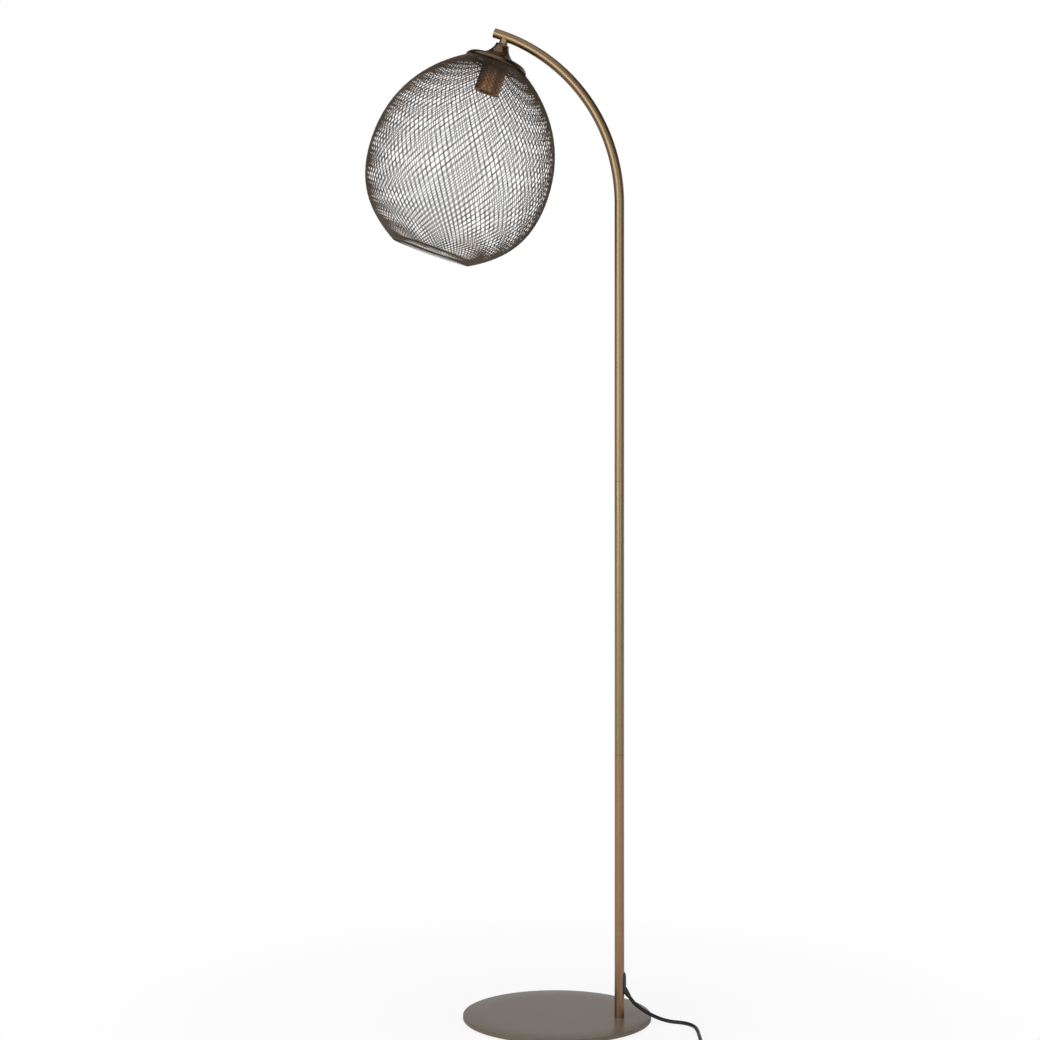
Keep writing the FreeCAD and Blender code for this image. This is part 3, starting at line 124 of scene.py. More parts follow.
class LampSizes(bpy.types.PropertyGroup):
    tube_radius: FloatProperty(
        name="Tube radius", description="Outside radius of the pole and arm",
        default=7.7 * MM, unit="LENGTH",
    )
    base_radius: FloatProperty(
        name="Base radius", description="Radius of the round base plate",
        default=150 * MM, unit="LENGTH",
    )
    wire_radius: FloatProperty(
        name="Wire radius", description="Radius of one cage wire",
        default=0.54 * MM, unit="LENGTH",
    )
    wire_count: IntProperty(
        name="Wires in a layer", description="How many wires each of the two layers has",
        default=96, min=12, max=200,
    )
    wire_slant: FloatProperty(
        name="Wire slant", description="Lean of the wires from the shade's upright lines",
        default=math.radians(31), subtype="ANGLE",
    )
    cord_radius: FloatProperty(
        name="Cord radius", description="Radius of the supply cord",
        default=2.9 * MM, unit="LENGTH",
    )


class LampColours(bpy.types.PropertyGroup):
    base: FloatVectorProperty(
        name="Base", description="Taupe bronze lacquer of the base plate",
        subtype="COLOR", default=paint(123, 110, 96), min=0, max=1,
    )
    pole_upper: FloatVectorProperty(
        name="Other bronze", description="Bronze lacquer of parts without their own finish",
        subtype="COLOR", default=paint(158, 136, 105), min=0, max=1,
    )
    # The top tube and arm, the middle tube and the lower tube carry one bronze lacquer. Each
    # section's tone below is also made lighter or darker to stand in for the light that falls at
    # its height: painted light and shade.
    arm: FloatVectorProperty(
        name="Top tube and arm", description="Bronze lacquer of the bent tube and its stub",
        subtype="COLOR", default=paint(157, 133, 103), min=0, max=1,
    )
    pole_middle: FloatVectorProperty(
        name="Middle tube", description="Bronze lacquer between the two joints",
        subtype="COLOR", default=paint(154, 132, 104), min=0, max=1,
    )
    pole_lower: FloatVectorProperty(
        name="Lower tube", description="Bronze lacquer below the lower joint",
        subtype="COLOR", default=paint(162, 131, 104), min=0, max=1,
    )
    cap: FloatVectorProperty(
        name="Cap", description="Dark bronze lacquer of the cap",
        subtype="COLOR", default=paint(122, 101, 81), min=0, max=1,
    )
    holder: FloatVectorProperty(
        name="Lampholder cover", description="Warm bronze lacquer of the lampholder's cover",
        subtype="COLOR", default=paint(150, 114, 80), min=0, max=1,
    )
    wire: FloatVectorProperty(
        name="Wire", description="Dark bronze lacquer of the cage wires",
        subtype="COLOR", default=paint(101, 87, 73), min=0, max=1,
    )
    cord: FloatVectorProperty(
        name="Cord", description="Black sheath of the supply cord",
        subtype="COLOR", default=paint(27, 27, 28), min=0, max=1,
    )
    floor: FloatVectorProperty(
        name="Floor", description="Pale floor and backdrop",
        subtype="COLOR", default=(0.9, 0.9, 0.9), min=0, max=1,
    )


def sizes():
    return bpy.context.scene.lamp_sizes


def colours():
    return bpy.context.scene.lamp_colours


# ---------------------------------------------------------------- materials

def add_node(tree, kind, inputs=None, **settings):
    node = tree.nodes.new(kind)
    for name, value in settings.items():
        setattr(node, name, value)
    for name, value in (inputs or {}).items():
        node.inputs[name].default_value = value
    return node


def new_material(name):
    """A material, its nodes, its shader and the object's own coordinates."""
    material = bpy.data.materials.new(name)
    material.use_nodes = True
    tree = material.node_tree
    shader = tree.nodes["Principled BSDF"]
    place = add_node(tree, "ShaderNodeTexCoord").outputs["Object"]
    return material, tree, shader, place


def noise(tree, place, scale, detail=3.0, stretch=(1, 1, 1)):
    mapping = add_node(tree, "ShaderNodeMapping", {"Scale": stretch})
    tree.links.new(place, mapping.inputs["Vector"])
    node = add_node(tree, "ShaderNodeTexNoise", {"Scale": scale, "Detail": detail})
    tree.links.new(mapping.outputs["Vector"], node.inputs["Vector"])
    return node.outputs["Fac"]


def between(tree, fac, low, high):
    """The pattern, spread from low to high."""
    node = add_node(tree, "ShaderNodeMapRange", {"To Min": low, "To Max": high})
    tree.links.new(fac, node.inputs["Value"])
    return node.outputs["Result"]


def colour_range(tree, fac, colour, spread):
    """The colour, a little darker and lighter by the pattern."""
    ramp = add_node(tree, "ShaderNodeValToRGB")
    for stop, position, share in zip(ramp.color_ramp.elements, (0.3, 0.7), (-spread, spread)):
        stop.position = position
        stop.color = [min(1.0, c * (1 + share)) for c in colour] + [1.0]
    tree.links.new(fac, ramp.inputs["Fac"])
    return ramp.outputs["Color"]


def bump(tree, shader, heights, strengths, distance=0.0002):
    """Relief from each pattern in turn; the distance is in metres."""
    normal = None
    for height, strength in zip(heights, strengths):
        node = add_node(tree, "ShaderNodeBump", {"Strength": strength, "Distance": distance})
        tree.links.new(height, node.inputs["Height"])
        if normal:
            tree.links.new(normal, node.inputs["Normal"])
        normal = node.outputs["Normal"]
    tree.links.new(normal, shader.inputs["Normal"])


def lacquered_metal(name, colour, metal=1.0, rough=0.3, spread=0.03, along=(1, 1, 0.06),
                    relief=0.02):
    """Satin lacquer with a faint drawn grain along the tube and a soft mottle."""
    material, tree, shader, place = new_material(name)
    shader.inputs["Metallic"].default_value = metal
    shader.inputs["Specular IOR Level"].default_value = 0.25
    mottle = noise(tree, place, 60, 4.0)
    grain = noise(tree, place, 900, 2.0, along)
    peel = noise(tree, place, 1100, 2.0)
    colour_out = colour_range(tree, mottle, colour, spread)
    tree.links.new(colour_out, shader.inputs["Base Color"])
    tree.links.new(between(tree, grain, rough - 0.03, rough + 0.05), shader.inputs["Roughness"])
    bump(tree, shader, (grain, peel), (relief, relief * 1.5))
    return material


def moulded(name, colour, rough=0.45, grain_scale=1600, strength=0.15):
    """Moulded rubber or plastic with a fine spark texture."""
    material, tree, shader, place = new_material(name)
    fine = noise(tree, place, grain_scale, 2.0)
    broad = noise(tree, place, 60, 3.0)
    tree.links.new(colour_range(tree, broad, colour, 0.10), shader.inputs["Base Color"])
    tree.links.new(between(tree, broad, rough - 0.05, rough + 0.08), shader.inputs["Roughness"])
    bump(tree, shader, (fine,), (strength,))
    return material


def bright_metal(name, colour, rough=0.28):
    """Bare metal with fine scratches."""
    material, tree, shader, place = new_material(name)
    shader.inputs["Metallic"].default_value = 1.0
    scratch = noise(tree, place, 700, 2.0, (1, 0.1, 1))
    tree.links.new(colour_range(tree, scratch, colour, 0.06), shader.inputs["Base Color"])
    tree.links.new(between(tree, scratch, rough - 0.08, rough + 0.1), shader.inputs["Roughness"])
    bump(tree, shader, (scratch,), (0.06,))
    return material


def pressed_felt(name, colour):
    """Matt fibres that catch light at their tips."""
    material, tree, shader, place = new_material(name)
    shader.inputs["Sheen Weight"].default_value = 0.4
    fibres = noise(tree, place, 2600, 4.0)
    tree.links.new(colour_range(tree, fibres, colour, 0.35), shader.inputs["Base Color"])
    shader.inputs["Roughness"].default_value = 0.95
    bump(tree, shader, (fibres,), (0.6,), 0.0005)
    return material


FINISHES = {}


def finish_named(name):
    """Makes each finish once, when a piece first asks for it."""
    if name not in FINISHES:
        tint = colours()
        makers = {
            "base_lacquer": lambda: lacquered_metal(
                name, tint.base, 0.35, 0.34, 0.03, (1, 1, 1), 0.04),
            "bronze_upper": lambda: lacquered_metal(name, tint.pole_upper),
            # bronze_arm, bronze_middle and bronze_lower are one lacquer in three tones, each
            # lighter or darker by section as painted light and shade.
            "bronze_arm": lambda: lacquered_metal(
                name, tint.arm, 1.0, 0.35, 0.02, (1, 1, 1), 0.004),
            "bronze_middle": lambda: lacquered_metal(name, tint.pole_middle),
            "bronze_lower": lambda: lacquered_metal(name, tint.pole_lower),
            "bronze_dark": lambda: lacquered_metal(
                name, tint.cap, 1.0, 0.23, 0.05, (1, 1, 0.2), 0.03),
            "holder_bronze": lambda: lacquered_metal(
                name, tint.holder, 1.0, 0.3, 0.06, (1, 1, 0.1), 0.04),
            "wire_bronze": lambda: lacquered_metal(
                name, tint.wire, 0.8, 0.36, 0.08, (1, 1, 1)),
            "cord_sheath": lambda: moulded(name, tint.cord, 0.42, 2200, 0.10),
            "cord_moulding": lambda: moulded(name, paint(50, 49, 43), 0.38),
            "lead_sheath": lambda: moulded(name, paint(90, 88, 86), 0.5),
            "switch_black": lambda: moulded(name, paint(34, 34, 35), 0.5, 1300, 0.3),
            "holder_black": lambda: moulded(name, paint(40, 38, 36), 0.55),
            "zinc": lambda: bright_metal(name, paint(190, 190, 192)),
            "brass": lambda: bright_metal(name, paint(205, 172, 105), 0.25),
            "felt": lambda: pressed_felt(name, paint(44, 42, 40)),
        }
        FINISHES[name] = makers[name]()
    return FINISHES[name]


NODE_FINISHES = {
    "base_felt": "felt", "bolt_washer": "zinc", "pole_bolt": "zinc",
    "pole_foot_insert": "zinc", "joint_sockets": "zinc", "joint_studs": "zinc",
    "inner_cable": "cord_sheath", "arm_leads": "lead_sheath", "socket_leads": "lead_sheath",
    "threaded_stem": "zinc", "star_washer": "zinc", "stem_nuts": "zinc",
    "swivel_washer": "bronze_dark", "cage_carrier": "bronze_dark",
    "lampholder_body": "holder_black", "socket_shell": "brass", "centre_contact": "brass",
    "terminal_screws": "brass", "foot_switch_contacts": "holder_black",
    "foot_switch_spring": "zinc", "foot_switch_screws": "zinc", "plug_pins": "brass",
    "foot_switch_base": "switch_black", "foot_switch_cover": "switch_black",
    "foot_switch_button": "switch_black", "cord_tie": "cord_moulding",
    "plug_body": "switch_black", "plug_boot": "cord_moulding",
    "foot_switch_boots": "cord_moulding", "cord_outlet": "cord_moulding",
}


# ---------------------------------------------------------------- modelling helpers

def start_clean():
    """Leaves edit mode with nothing selected."""
    if bpy.context.object and bpy.context.object.mode != "OBJECT":
        bpy.ops.object.mode_set(mode="OBJECT")
    bpy.ops.object.select_all(action="DESELECT")


def pick(*objects):
    start_clean()
    for thing in objects:
        thing.select_set(True)
    bpy.context.view_layer.objects.active = objects[0]


def settle(piece, name, finish, body, nodes=(), place=None, smooth=32):
    """Names a finished piece, puts its place into its mesh and hangs it on its body."""
    piece.name = name
    if place is not None:
        piece.matrix_world = place @ piece.matrix_world
    pick(piece)
    bpy.ops.object.transform_apply(location=True, rotation=True, scale=True)
    if smooth:
        bpy.ops.object.shade_smooth_by_angle(angle=math.radians(smooth))
    piece.data.materials.clear()
    piece.data.materials.append(finish_named(finish))
    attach(piece, body)
    if nodes:
        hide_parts(*nodes)
    return piece


def select_edges(piece, wanted):
    """In edit mode, selects just the edges whose two ends pass the test."""
    bpy.ops.mesh.select_all(action="DESELECT")
    mesh = bmesh.from_edit_mesh(piece.data)
    for edge in mesh.edges:
        edge.select = wanted(*(vert.co for vert in edge.verts))
    bmesh.update_edit_mesh(piece.data)


def apply_modifier(piece, kind, **settings):
    pick(piece)
    modifier = piece.modifiers.new(kind.title(), kind)
    for key, value in settings.items():
        setattr(modifier, key, value)
    bpy.ops.object.modifier_apply(modifier=modifier.name)


def arc_between(start, end, radius, steps):
    """Points of an arc from start to end: it turns left on its way when radius is above zero."""
    a, b = Vector(start), Vector(end)
    chord = b - a
    left = Vector((-chord.y, chord.x)).normalized()
    rise = math.sqrt(radius**2 - (chord.length / 2) ** 2)
    centre = (a + b) / 2 + left * math.copysign(rise, radius)
    from_angle = math.atan2(a.y - centre.y, a.x - centre.x)
    to_angle = math.atan2(b.y - centre.y, b.x - centre.x)
    sweep = (to_angle - from_angle + math.pi) % (2 * math.pi) - math.pi
    reach = abs(radius)
    return [
        (centre.x + reach * math.cos(from_angle + sweep * k / steps),
         centre.y + reach * math.sin(from_angle + sweep * k / steps))
        for k in range(1, steps + 1)
    ]


def turned(profile, segments=96, closed=False):
    """A turned shape: a circle is extruded and scaled through each (radius, height) in
    millimetres. A closed profile meets its own start; an open one gets flat ends."""
    start_clean()
    radius, height = profile[0]
    bpy.ops.mesh.primitive_circle_add(
        vertices=segments, radius=radius * MM, location=(0, 0, height * MM),
        fill_type="NOTHING" if closed else "NGON",
    )
    piece = bpy.context.object
    bpy.ops.object.transform_apply(location=True)
    bpy.ops.object.mode_set(mode="EDIT")
    bpy.ops.mesh.select_all(action="SELECT")
    if not closed:
        bpy.ops.mesh.select_mode(type="EDGE")
        bpy.ops.mesh.select_all(action="SELECT")
    for (last_radius, last_height), (radius, height) in zip(profile, profile[1:]):
        bpy.ops.mesh.extrude_edges_move(
            TRANSFORM_OT_translate={"value": (0, 0, (height - last_height) * MM)})
        share = radius / last_radius
        bpy.ops.transform.resize(value=(share, share, 1), center_override=(0, 0, height * MM))
    if not closed:
        bpy.ops.mesh.edge_face_add()
    bpy.ops.mesh.select_all(action="SELECT")
    bpy.ops.mesh.remove_doubles(threshold=1e-6)
    bpy.ops.mesh.normals_make_consistent(inside=False)
    bpy.ops.object.mode_set(mode="OBJECT")
    return piece


def tube_profile(outer, inner, low, high, chamfer=TUBE_CHAMFER):
    """A tube's wall with small chamfers on its outer edges, as a closed profile."""
    return [
        (inner, low), (outer - chamfer, low), (outer, low + chamfer), (outer, high - chamfer),
        (outer - chamfer, high), (inner, high), (inner, low),
    ]


def grooves(starts, radius, taper, depth, low, high, end, drop):
    """Profile points of a row of grooves round a moulded nose. Each begins at one of the
    starts, is cut to the depth from low to high after it, and comes back up at the end, to
    a drop under the radius; the radius shrinks by the taper from one groove to the next."""
    points = []
    for k, at in enumerate(starts):
        thick = radius - taper * k
        points += [(thick, at), (thick - depth, at + low), (thick - depth, at + high),
                   (thick - drop, at + end)]
    return points


def bent_line(name, points, depth, resolution=3):
    """A smooth cord along given points, in metres, as a curve that stays one."""
    curve = bpy.data.curves.new(name, "CURVE")
    curve.dimensions = "3D"
    spline = curve.splines.new("NURBS")
    spline.points.add(len(points) - 1)
    for point, place in zip(spline.points, points):
        point.co = (*place, 1)
    spline.order_u = 3
    spline.use_endpoint_u = True
    spline.resolution_u = 8
    curve.bevel_depth = depth
    curve.bevel_resolution = resolution
    curve.use_fill_caps = True
    cord = bpy.data.objects.new(name, curve)
    bpy.context.scene.collection.objects.link(cord)
    return cord


# ---------------------------------------------------------------- camera, light and floor

class LAMP_OT_stage(bpy.types.Operator):
    """Sets up the camera, the lights, the pale floor and the backdrop"""

    bl_idname = "lamp.stage"
    bl_label = "Stage"

    def combine(self, tree, operation, first, second):
        node = add_node(tree, "ShaderNodeMath", operation=operation)
        tree.links.new(first, node.inputs[0])
        tree.links.new(second, node.inputs[1])
        return node.outputs[0]

    def mirrored(self, tree, seen):
        """One for the rays that metal and glass send out, else zero."""
        return self.combine(
            tree, "MAXIMUM", seen.outputs["Is Glossy Ray"], seen.outputs["Is Transmission Ray"])

    def room(self, tree):
        """The studio as metal shows it: lit from the front, dark sides, a white backdrop."""
        way = add_node(tree, "ShaderNodeTexCoord").outputs["Generated"]
        front = add_node(tree, "ShaderNodeVectorMath", {1: (-0.276, -0.961, 0)},
                         operation="DOT_PRODUCT")
        tree.links.new(way, front.inputs[0])
        frontness = add_node(tree, "ShaderNodeMapRange", {"From Min": -1.0, "From Max": 1.0})
        tree.links.new(front.outputs["Value"], frontness.inputs["Value"])
        split = add_node(tree, "ShaderNodeSeparateXYZ")
        tree.links.new(way, split.inputs[0])
        overhead = add_node(tree, "ShaderNodeMapRange", {
            "From Min": 0.12, "From Max": 0.5, "To Min": 1.0, "To Max": 0.22})
        tree.links.new(split.outputs["Z"], overhead.inputs["Value"])
        ramp = add_node(tree, "ShaderNodeValToRGB")
        stops = ramp.color_ramp.elements
        # From straight behind the lamp, 0, round to the front, 1, with the light there.
        shades = ((0.0, 1.0), (0.07, 1.0), (0.17, 0.22), (0.5, 0.14), (0.74, 0.8), (0.9, 0.95))
        while len(stops) < len(shades):
            stops.new(0.5)
        for stop, (at, light) in zip(stops, shades):
            stop.position = at
            stop.color = (light, light, light, 1)
        tree.links.new(frontness.outputs["Result"], ramp.inputs["Fac"])
        light = add_node(tree, "ShaderNodeVectorMath", operation="SCALE")
        tree.links.new(ramp.outputs["Color"], light.inputs[0])
        tree.links.new(overhead.outputs["Result"], light.inputs["Scale"])
        return light.outputs["Vector"]

    def mix(self, tree, share, first, second):
        """The first shader, with that share of the second."""
        node = tree.nodes.new("ShaderNodeMixShader")
        tree.links.new(share, node.inputs["Fac"])
        tree.links.new(first.outputs[0], node.inputs[1])
        tree.links.new(second.outputs[0], node.inputs[2])
        return node

    def light_up(self, context):
        for name, place, aim, power, width, height in LIGHTS:
            bpy.ops.object.light_add(type="AREA", location=place)
            lamp = context.object
            lamp.name = name
            lamp.data.shape = "RECTANGLE"
            lamp.data.size = width
            lamp.data.size_y = height
            lamp.data.energy = power
            heading = Vector(aim) - Vector(place)
            lamp.rotation_euler = heading.to_track_quat("-Z", "Y").to_euler()

    def surround(self, context):
        """A world that is white to the camera, the room to metal and soft light to the rest."""
        world = bpy.data.worlds.new("studio")
        context.scene.world = world
        world.use_nodes = True
        tree = world.node_tree
        tree.nodes.clear()
        out = tree.nodes.new("ShaderNodeOutputWorld")
        soft = add_node(tree, "ShaderNodeBackground", {"Color": WHITE, "Strength": 0.6})
        white = add_node(tree, "ShaderNodeBackground", {"Color": WHITE, "Strength": 1.0})
        room = add_node(tree, "ShaderNodeBackground", {"Strength": 1.0})
        tree.links.new(self.room(tree), room.inputs["Color"])
        seen = tree.nodes.new("ShaderNodeLightPath")
        for_metal = self.mix(tree, self.mirrored(tree, seen), soft, room)
        shown = self.mix(tree, seen.outputs["Is Camera Ray"], for_metal, white)
        tree.links.new(shown.outputs[0], out.inputs["Surface"])

    def floor_paper(self):
        """Paper that glows white to the camera, less so round the lamp, and behind it also
        to metal. Distances are in metres from the base's centre."""
        material, tree, shader, place = new_material("floor_paper")
        shader.inputs["Base Color"].default_value = [*colours().floor, 1]
        shader.inputs["Roughness"].default_value = 0.9
        shader.inputs["Specular IOR Level"].default_value = 0.2
        glow = add_node(tree, "ShaderNodeEmission", {"Color": WHITE, "Strength": 1.0})
        seen = tree.nodes.new("ShaderNodeLightPath")
        away = add_node(tree, "ShaderNodeVectorMath", operation="LENGTH")
        tree.links.new(place, away.inputs[0])
        far = add_node(tree, "ShaderNodeMapRange", {
            "From Min": 0.22, "From Max": 0.9, "To Min": 0.85, "To Max": 1.0})
        tree.links.new(away.outputs["Value"], far.inputs["Value"])
        split = add_node(tree, "ShaderNodeSeparateXYZ")
        tree.links.new(place, split.inputs[0])
        behind = add_node(tree, "ShaderNodeMapRange", {
            "From Min": 0.2, "From Max": 1.5, "To Min": 0.0, "To Max": 1.0})
        tree.links.new(split.outputs["Y"], behind.inputs["Value"])
        in_metal = self.combine(
            tree, "MULTIPLY", self.mirrored(tree, seen), behind.outputs["Result"])
        seen_white = self.combine(tree, "MAXIMUM", seen.outputs["Is Camera Ray"], in_metal)
        share = self.combine(tree, "MULTIPLY", seen_white, far.outputs["Result"])
        shown = self.mix(tree, share, shader, glow)
        out = tree.nodes["Material Output"]
        tree.links.new(shown.outputs[0], out.inputs["Surface"])
        return material

    def execute(self, context):
        start_clean()
        bpy.ops.object.camera_add(
            location=CAMERA_PLACE, rotation=(math.radians(90), 0, CAMERA_HEADING))
        camera = context.object
        camera.data.lens = CAMERA_LENS
        camera.data.sensor_width = SENSOR_WIDTH
        context.scene.camera = camera
        self.light_up(context)
        self.surround(context)
        context.scene.view_settings.view_transform = "Standard"

        start_clean()
        bpy.ops.mesh.primitive_plane_add(size=60, location=(0, 0, -0.0006))
        floor = context.object
        floor.name = "studio_floor"
        bpy.ops.object.transform_apply(location=True)
        floor.data.materials.append(self.floor_paper())
        return {"FINISHED"}


# ---------------------------------------------------------------- cord

CORD_EXIT = (POLE_X + 15.5, 0, 40.0)
# From the outlet's tip over the base's edge, along the floor, where the cord's centre is 2.9
# up, and round into the switch.
LEAD_POINTS = [
    CORD_EXIT, (120.5, 0, 32.9), (128, 0, 26.0), (138, 0, 18.9), (150.5, 0, 12.3),
    (165, 0, 6.3), (182, -0.5, 2.9), (199, -2.5, 2.9), (213, -11, 2.9), (222.5, -26, 2.9),
    (227, -45, 2.9), (230.5, -66, 2.9), (234, -88, 2.9), (237, -111, 2.9), (240, -135, 2.9),
    (242, -157, 2.9), (242.5, -177.4, 2.9), (242, -195.1, 4.0), (233.4, -209.9, 6.6),
    (218.6, -218.5, 8.0), (203, -218.5, 8.0),
]
SPARE_START = (69, -218.5, CORD_IN_SWITCH)
PLUG_END = (68.0, -305.0, 6.85)


def coil_turn(turned_by):
    """A point of the tied coil: three turns inwards, up half a turn, three turns outwards."""
    pitch, outer, low = 6.4, 43.5, 4.1
    inner = outer - pitch * COIL_TURNS_IN_A_LAYER
    risen = COIL_TURNS - COIL_TURNS_IN_A_LAYER
    if turned_by <= COIL_TURNS_IN_A_LAYER:
        radius, height = outer - pitch * turned_by, low
    elif turned_by <= risen:
        share = (turned_by - COIL_TURNS_IN_A_LAYER) * 2
        radius = inner - pitch / 2 * math.sin(math.pi * share) / math.pi
        height = low + pitch * (1 - math.cos(math.pi * share)) / 2
    else:
        radius, height = inner + pitch * (turned_by - risen), low + pitch
    angle = math.radians(90) + 2 * math.pi * turned_by
    return (
        COIL_CENTRE[0] + radius * math.cos(angle), COIL_CENTRE[1] + radius * math.sin(angle),
        height,
    )


class LAMP_OT_cord(bpy.types.Operator):
    """Lays the supply cord: from the pole to the foot switch, and on to the coil and plug"""

    bl_idname = "lamp.cord"
    bl_label = "Cord"

    def piece(self, name):
        """A part of the cord set: a modelled piece, or a node that keeps its own shape."""
        return bpy.data.objects[name] if name in bpy.data.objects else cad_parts[name]

    def execute(self, context):
        radius = sizes().cord_radius
        lead = bent_line("cord_to_switch", [Vector(p) * MM for p in LEAD_POINTS], radius)
        lead.data.materials.append(finish_named("cord_sheath"))
        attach(lead, "stand")
        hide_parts("cord_lead")
        steps = int(16 * COIL_TURNS)
        turns = [coil_turn(COIL_TURNS * k / steps) for k in range(steps + 1)]
        last = turns[-1]
        spare = [SPARE_START, (57, -218.5, 8.0), (34, -218.3, 4.1), (20, -218.1, 4.1), *turns]
        spare += [(19, last[1], last[2]), (36, last[1] + 0.7, 7.9), (53, *PLUG_END[1:]), PLUG_END]
        tail = bent_line("cord_spare", [Vector(p) * MM for p in spare], radius)
        tail.data.materials.append(finish_named("cord_sheath"))
        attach(tail, "stand")
        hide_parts("cord_middle", "cord_coil", "cord_end")
        return {"FINISHED"}


# ---------------------------------------------------------------- base, pole and arm

class LAMP_OT_base(bpy.types.Operator):
    """Turns the round base plate with its softly broken edges"""

    bl_idname = "lamp.base"
    bl_label = "Base plate"

    def execute(self, context):
        reach = sizes().base_radius / MM
        edge = [
            (reach - PLATE_EDGE + PLATE_EDGE * math.sin(a),
             PLATE_TOP - PLATE_EDGE + PLATE_EDGE * math.cos(a))
            for a in (math.radians(15 * k) for k in range(7))
        ]
        under = [(r, PLATE_TOP + PLATE_BOTTOM - z) for r, z in reversed(edge)]
        profile = [(40, PLATE_TOP), (110, PLATE_TOP), *edge, *under, (reach - 12, PLATE_BOTTOM)]
        plate = turned(profile, segments=192)
        settle(plate, "base_disc", "base_lacquer", "stand", ["base_plate"])
        return {"FINISHED"}


class LAMP_OT_pole(bpy.types.Operator):
    """Turns the two lower tubes of the pole, with the fine lines where they screw together"""

    bl_idname = "lamp.pole"
    bl_label = "Pole"

    def execute(self, context):
        outer = sizes().tube_radius / MM
        place = Matrix.Translation((POLE_X * MM, 0, 0))
        for name, node, low, high, finish in (
            ("pole_low_tube", "pole_lower", PLATE_TOP, LOWER_JOINT, "bronze_lower"),
            ("pole_mid_tube", "pole_middle", LOWER_JOINT, UPPER_JOINT, "bronze_middle"),
        ):
            tube = turned(tube_profile(outer, outer - TUBE_WALL, low, high), 64, closed=True)
            settle(tube, name, finish, "stand", [node], place)
        return {"FINISHED"}


class LAMP_OT_arm(bpy.types.Operator):
    """Bends the top tube over, closes its end and welds the short stub under it"""

    bl_idname = "lamp.arm"
    bl_label = "Arm"

    def execute(self, context):
        outer = sizes().tube_radius / MM
        mouth = outer - TUBE_CHAMFER
        full = UPPER_JOINT + TUBE_CHAMFER
        start_clean()
        bpy.ops.mesh.primitive_circle_add(
            vertices=64, radius=mouth * MM, location=(POLE_X * MM, 0, UPPER_JOINT * MM))
        arm = context.object
        bpy.ops.object.transform_apply(location=True)
        bpy.ops.object.mode_set(mode="EDIT")
        bpy.ops.mesh.select_mode(type="EDGE")
        bpy.ops.mesh.select_all(action="SELECT")
        bpy.ops.mesh.extrude_edges_move(
            TRANSFORM_OT_translate={"value": (0, 0, TUBE_CHAMFER * MM)})
        grow = outer / mouth
        bpy.ops.transform.resize(
            value=(grow, grow, 1), center_override=(POLE_X * MM, 0, full * MM))
        bpy.ops.mesh.extrude_edges_move(
            TRANSFORM_OT_translate={"value": (0, 0, (BEND_HEIGHT - full) * MM)})
        bpy.ops.mesh.spin(
            steps=120, angle=BEND_ANGLE, axis=(0, 1, 0),
            center=((POLE_X - BEND_RADIUS) * MM, 0, BEND_HEIGHT * MM))
        way = Vector((-math.sin(BEND_ANGLE), 0, math.cos(BEND_ANGLE)))
        bpy.ops.mesh.extrude_edges_move(
            TRANSFORM_OT_translate={"value": way * ARM_STRAIGHT_END * MM})
        bpy.ops.mesh.select_all(action="SELECT")
        bpy.ops.mesh.remove_doubles(threshold=1e-6)
        bpy.ops.mesh.normals_make_consistent(inside=False)
        bpy.ops.object.mode_set(mode="OBJECT")
        apply_modifier(arm, "SOLIDIFY", thickness=TUBE_WALL * MM, offset=-1)
        settle(arm, "arm_bent_tube", "bronze_arm", "stand", ["arm_tube"])

        tip = Vector((
            POLE_X - BEND_RADIUS * (1 - math.cos(BEND_ANGLE)), 0,
            BEND_HEIGHT + BEND_RADIUS * math.sin(BEND_ANGLE),
        )) + way * ARM_STRAIGHT_END
        turn = way.to_track_quat("Z", "Y").to_matrix().to_4x4()
        disc = turned([(6.47, -5), (6.47, -0.25), (6.2, 0)], 64)
        settle(disc, "arm_end_disc", "bronze_arm", "stand", ["arm_end_plug"],
               Matrix.Translation(tip * MM) @ turn)
        collar = [(5.05, -3), (7.0, -3), (7.0, -12.6), (6.6, -13), (5.05, -13), (5.05, -3)]
        stub = turned(collar, 64, closed=True)
        settle(stub, "arm_stub_collar", "bronze_arm", "stand", ["arm_stub"], HEAD)
        return {"FINISHED"}


class LAMP_OT_outlet(bpy.types.Operator):
    """Moulds the hood and tapered nose that the cord leaves through"""

    bl_idname = "lamp.outlet"
    bl_label = "Cord outlet"

    def execute(self, context):
        start_clean()
        half_height = 16.2 * MM
        bpy.ops.mesh.primitive_uv_sphere_add(
            segments=48, ring_count=32, radius=1, location=(0, 0, 0))
        hood = context.object
        bpy.ops.transform.resize(value=(3.6 * MM, 5.2 * MM, half_height))
        bpy.ops.object.transform_apply(scale=True)
        bpy.ops.object.mode_set(mode="EDIT")
        # The ends are made blunter: the hood grows sideways towards its top and bottom.
        mesh = bmesh.from_edit_mesh(hood.data)
        for vert in mesh.verts:
            height = min(1.0, abs(vert.co.z) / half_height)
            fuller = (1 - height**4) ** 0.5 / max(0.02, (1 - height**2) ** 0.5)
            vert.co.x *= min(fuller, 2.2)
            vert.co.y *= min(fuller, 1.6)
        bmesh.update_edit_mesh(hood.data)
        bpy.ops.object.mode_set(mode="OBJECT")
        settle(hood, "outlet_hood", "cord_moulding", "stand", ["cord_outlet"],
               Matrix.Translation(((POLE_X + 7.2) * MM, 0, 62.25 * MM)), 60)

        start = Vector((POLE_X + 5.5, 0, 54.2))
        end = Vector(CORD_EXIT)
        long = (end - start).length
        turn = (end - start).to_track_quat("Z", "Y").to_matrix().to_4x4()
        starts = [long * (0.52 + 0.11 * k) for k in range(4)]
        ribs = grooves(starts, 4.55, 0.25, 0.35, 0.35, 0.8, 1.1, 0.05)
        nose = turned([(4.9, 0), (4.8, long * 0.45), *ribs, (3.55, long - 0.4), (3.2, long)], 48)
        settle(nose, "outlet_nose", "cord_moulding", "stand",
               place=Matrix.Translation(start * MM) @ turn)
        return {"FINISHED"}


# ---------------------------------------------------------------- head

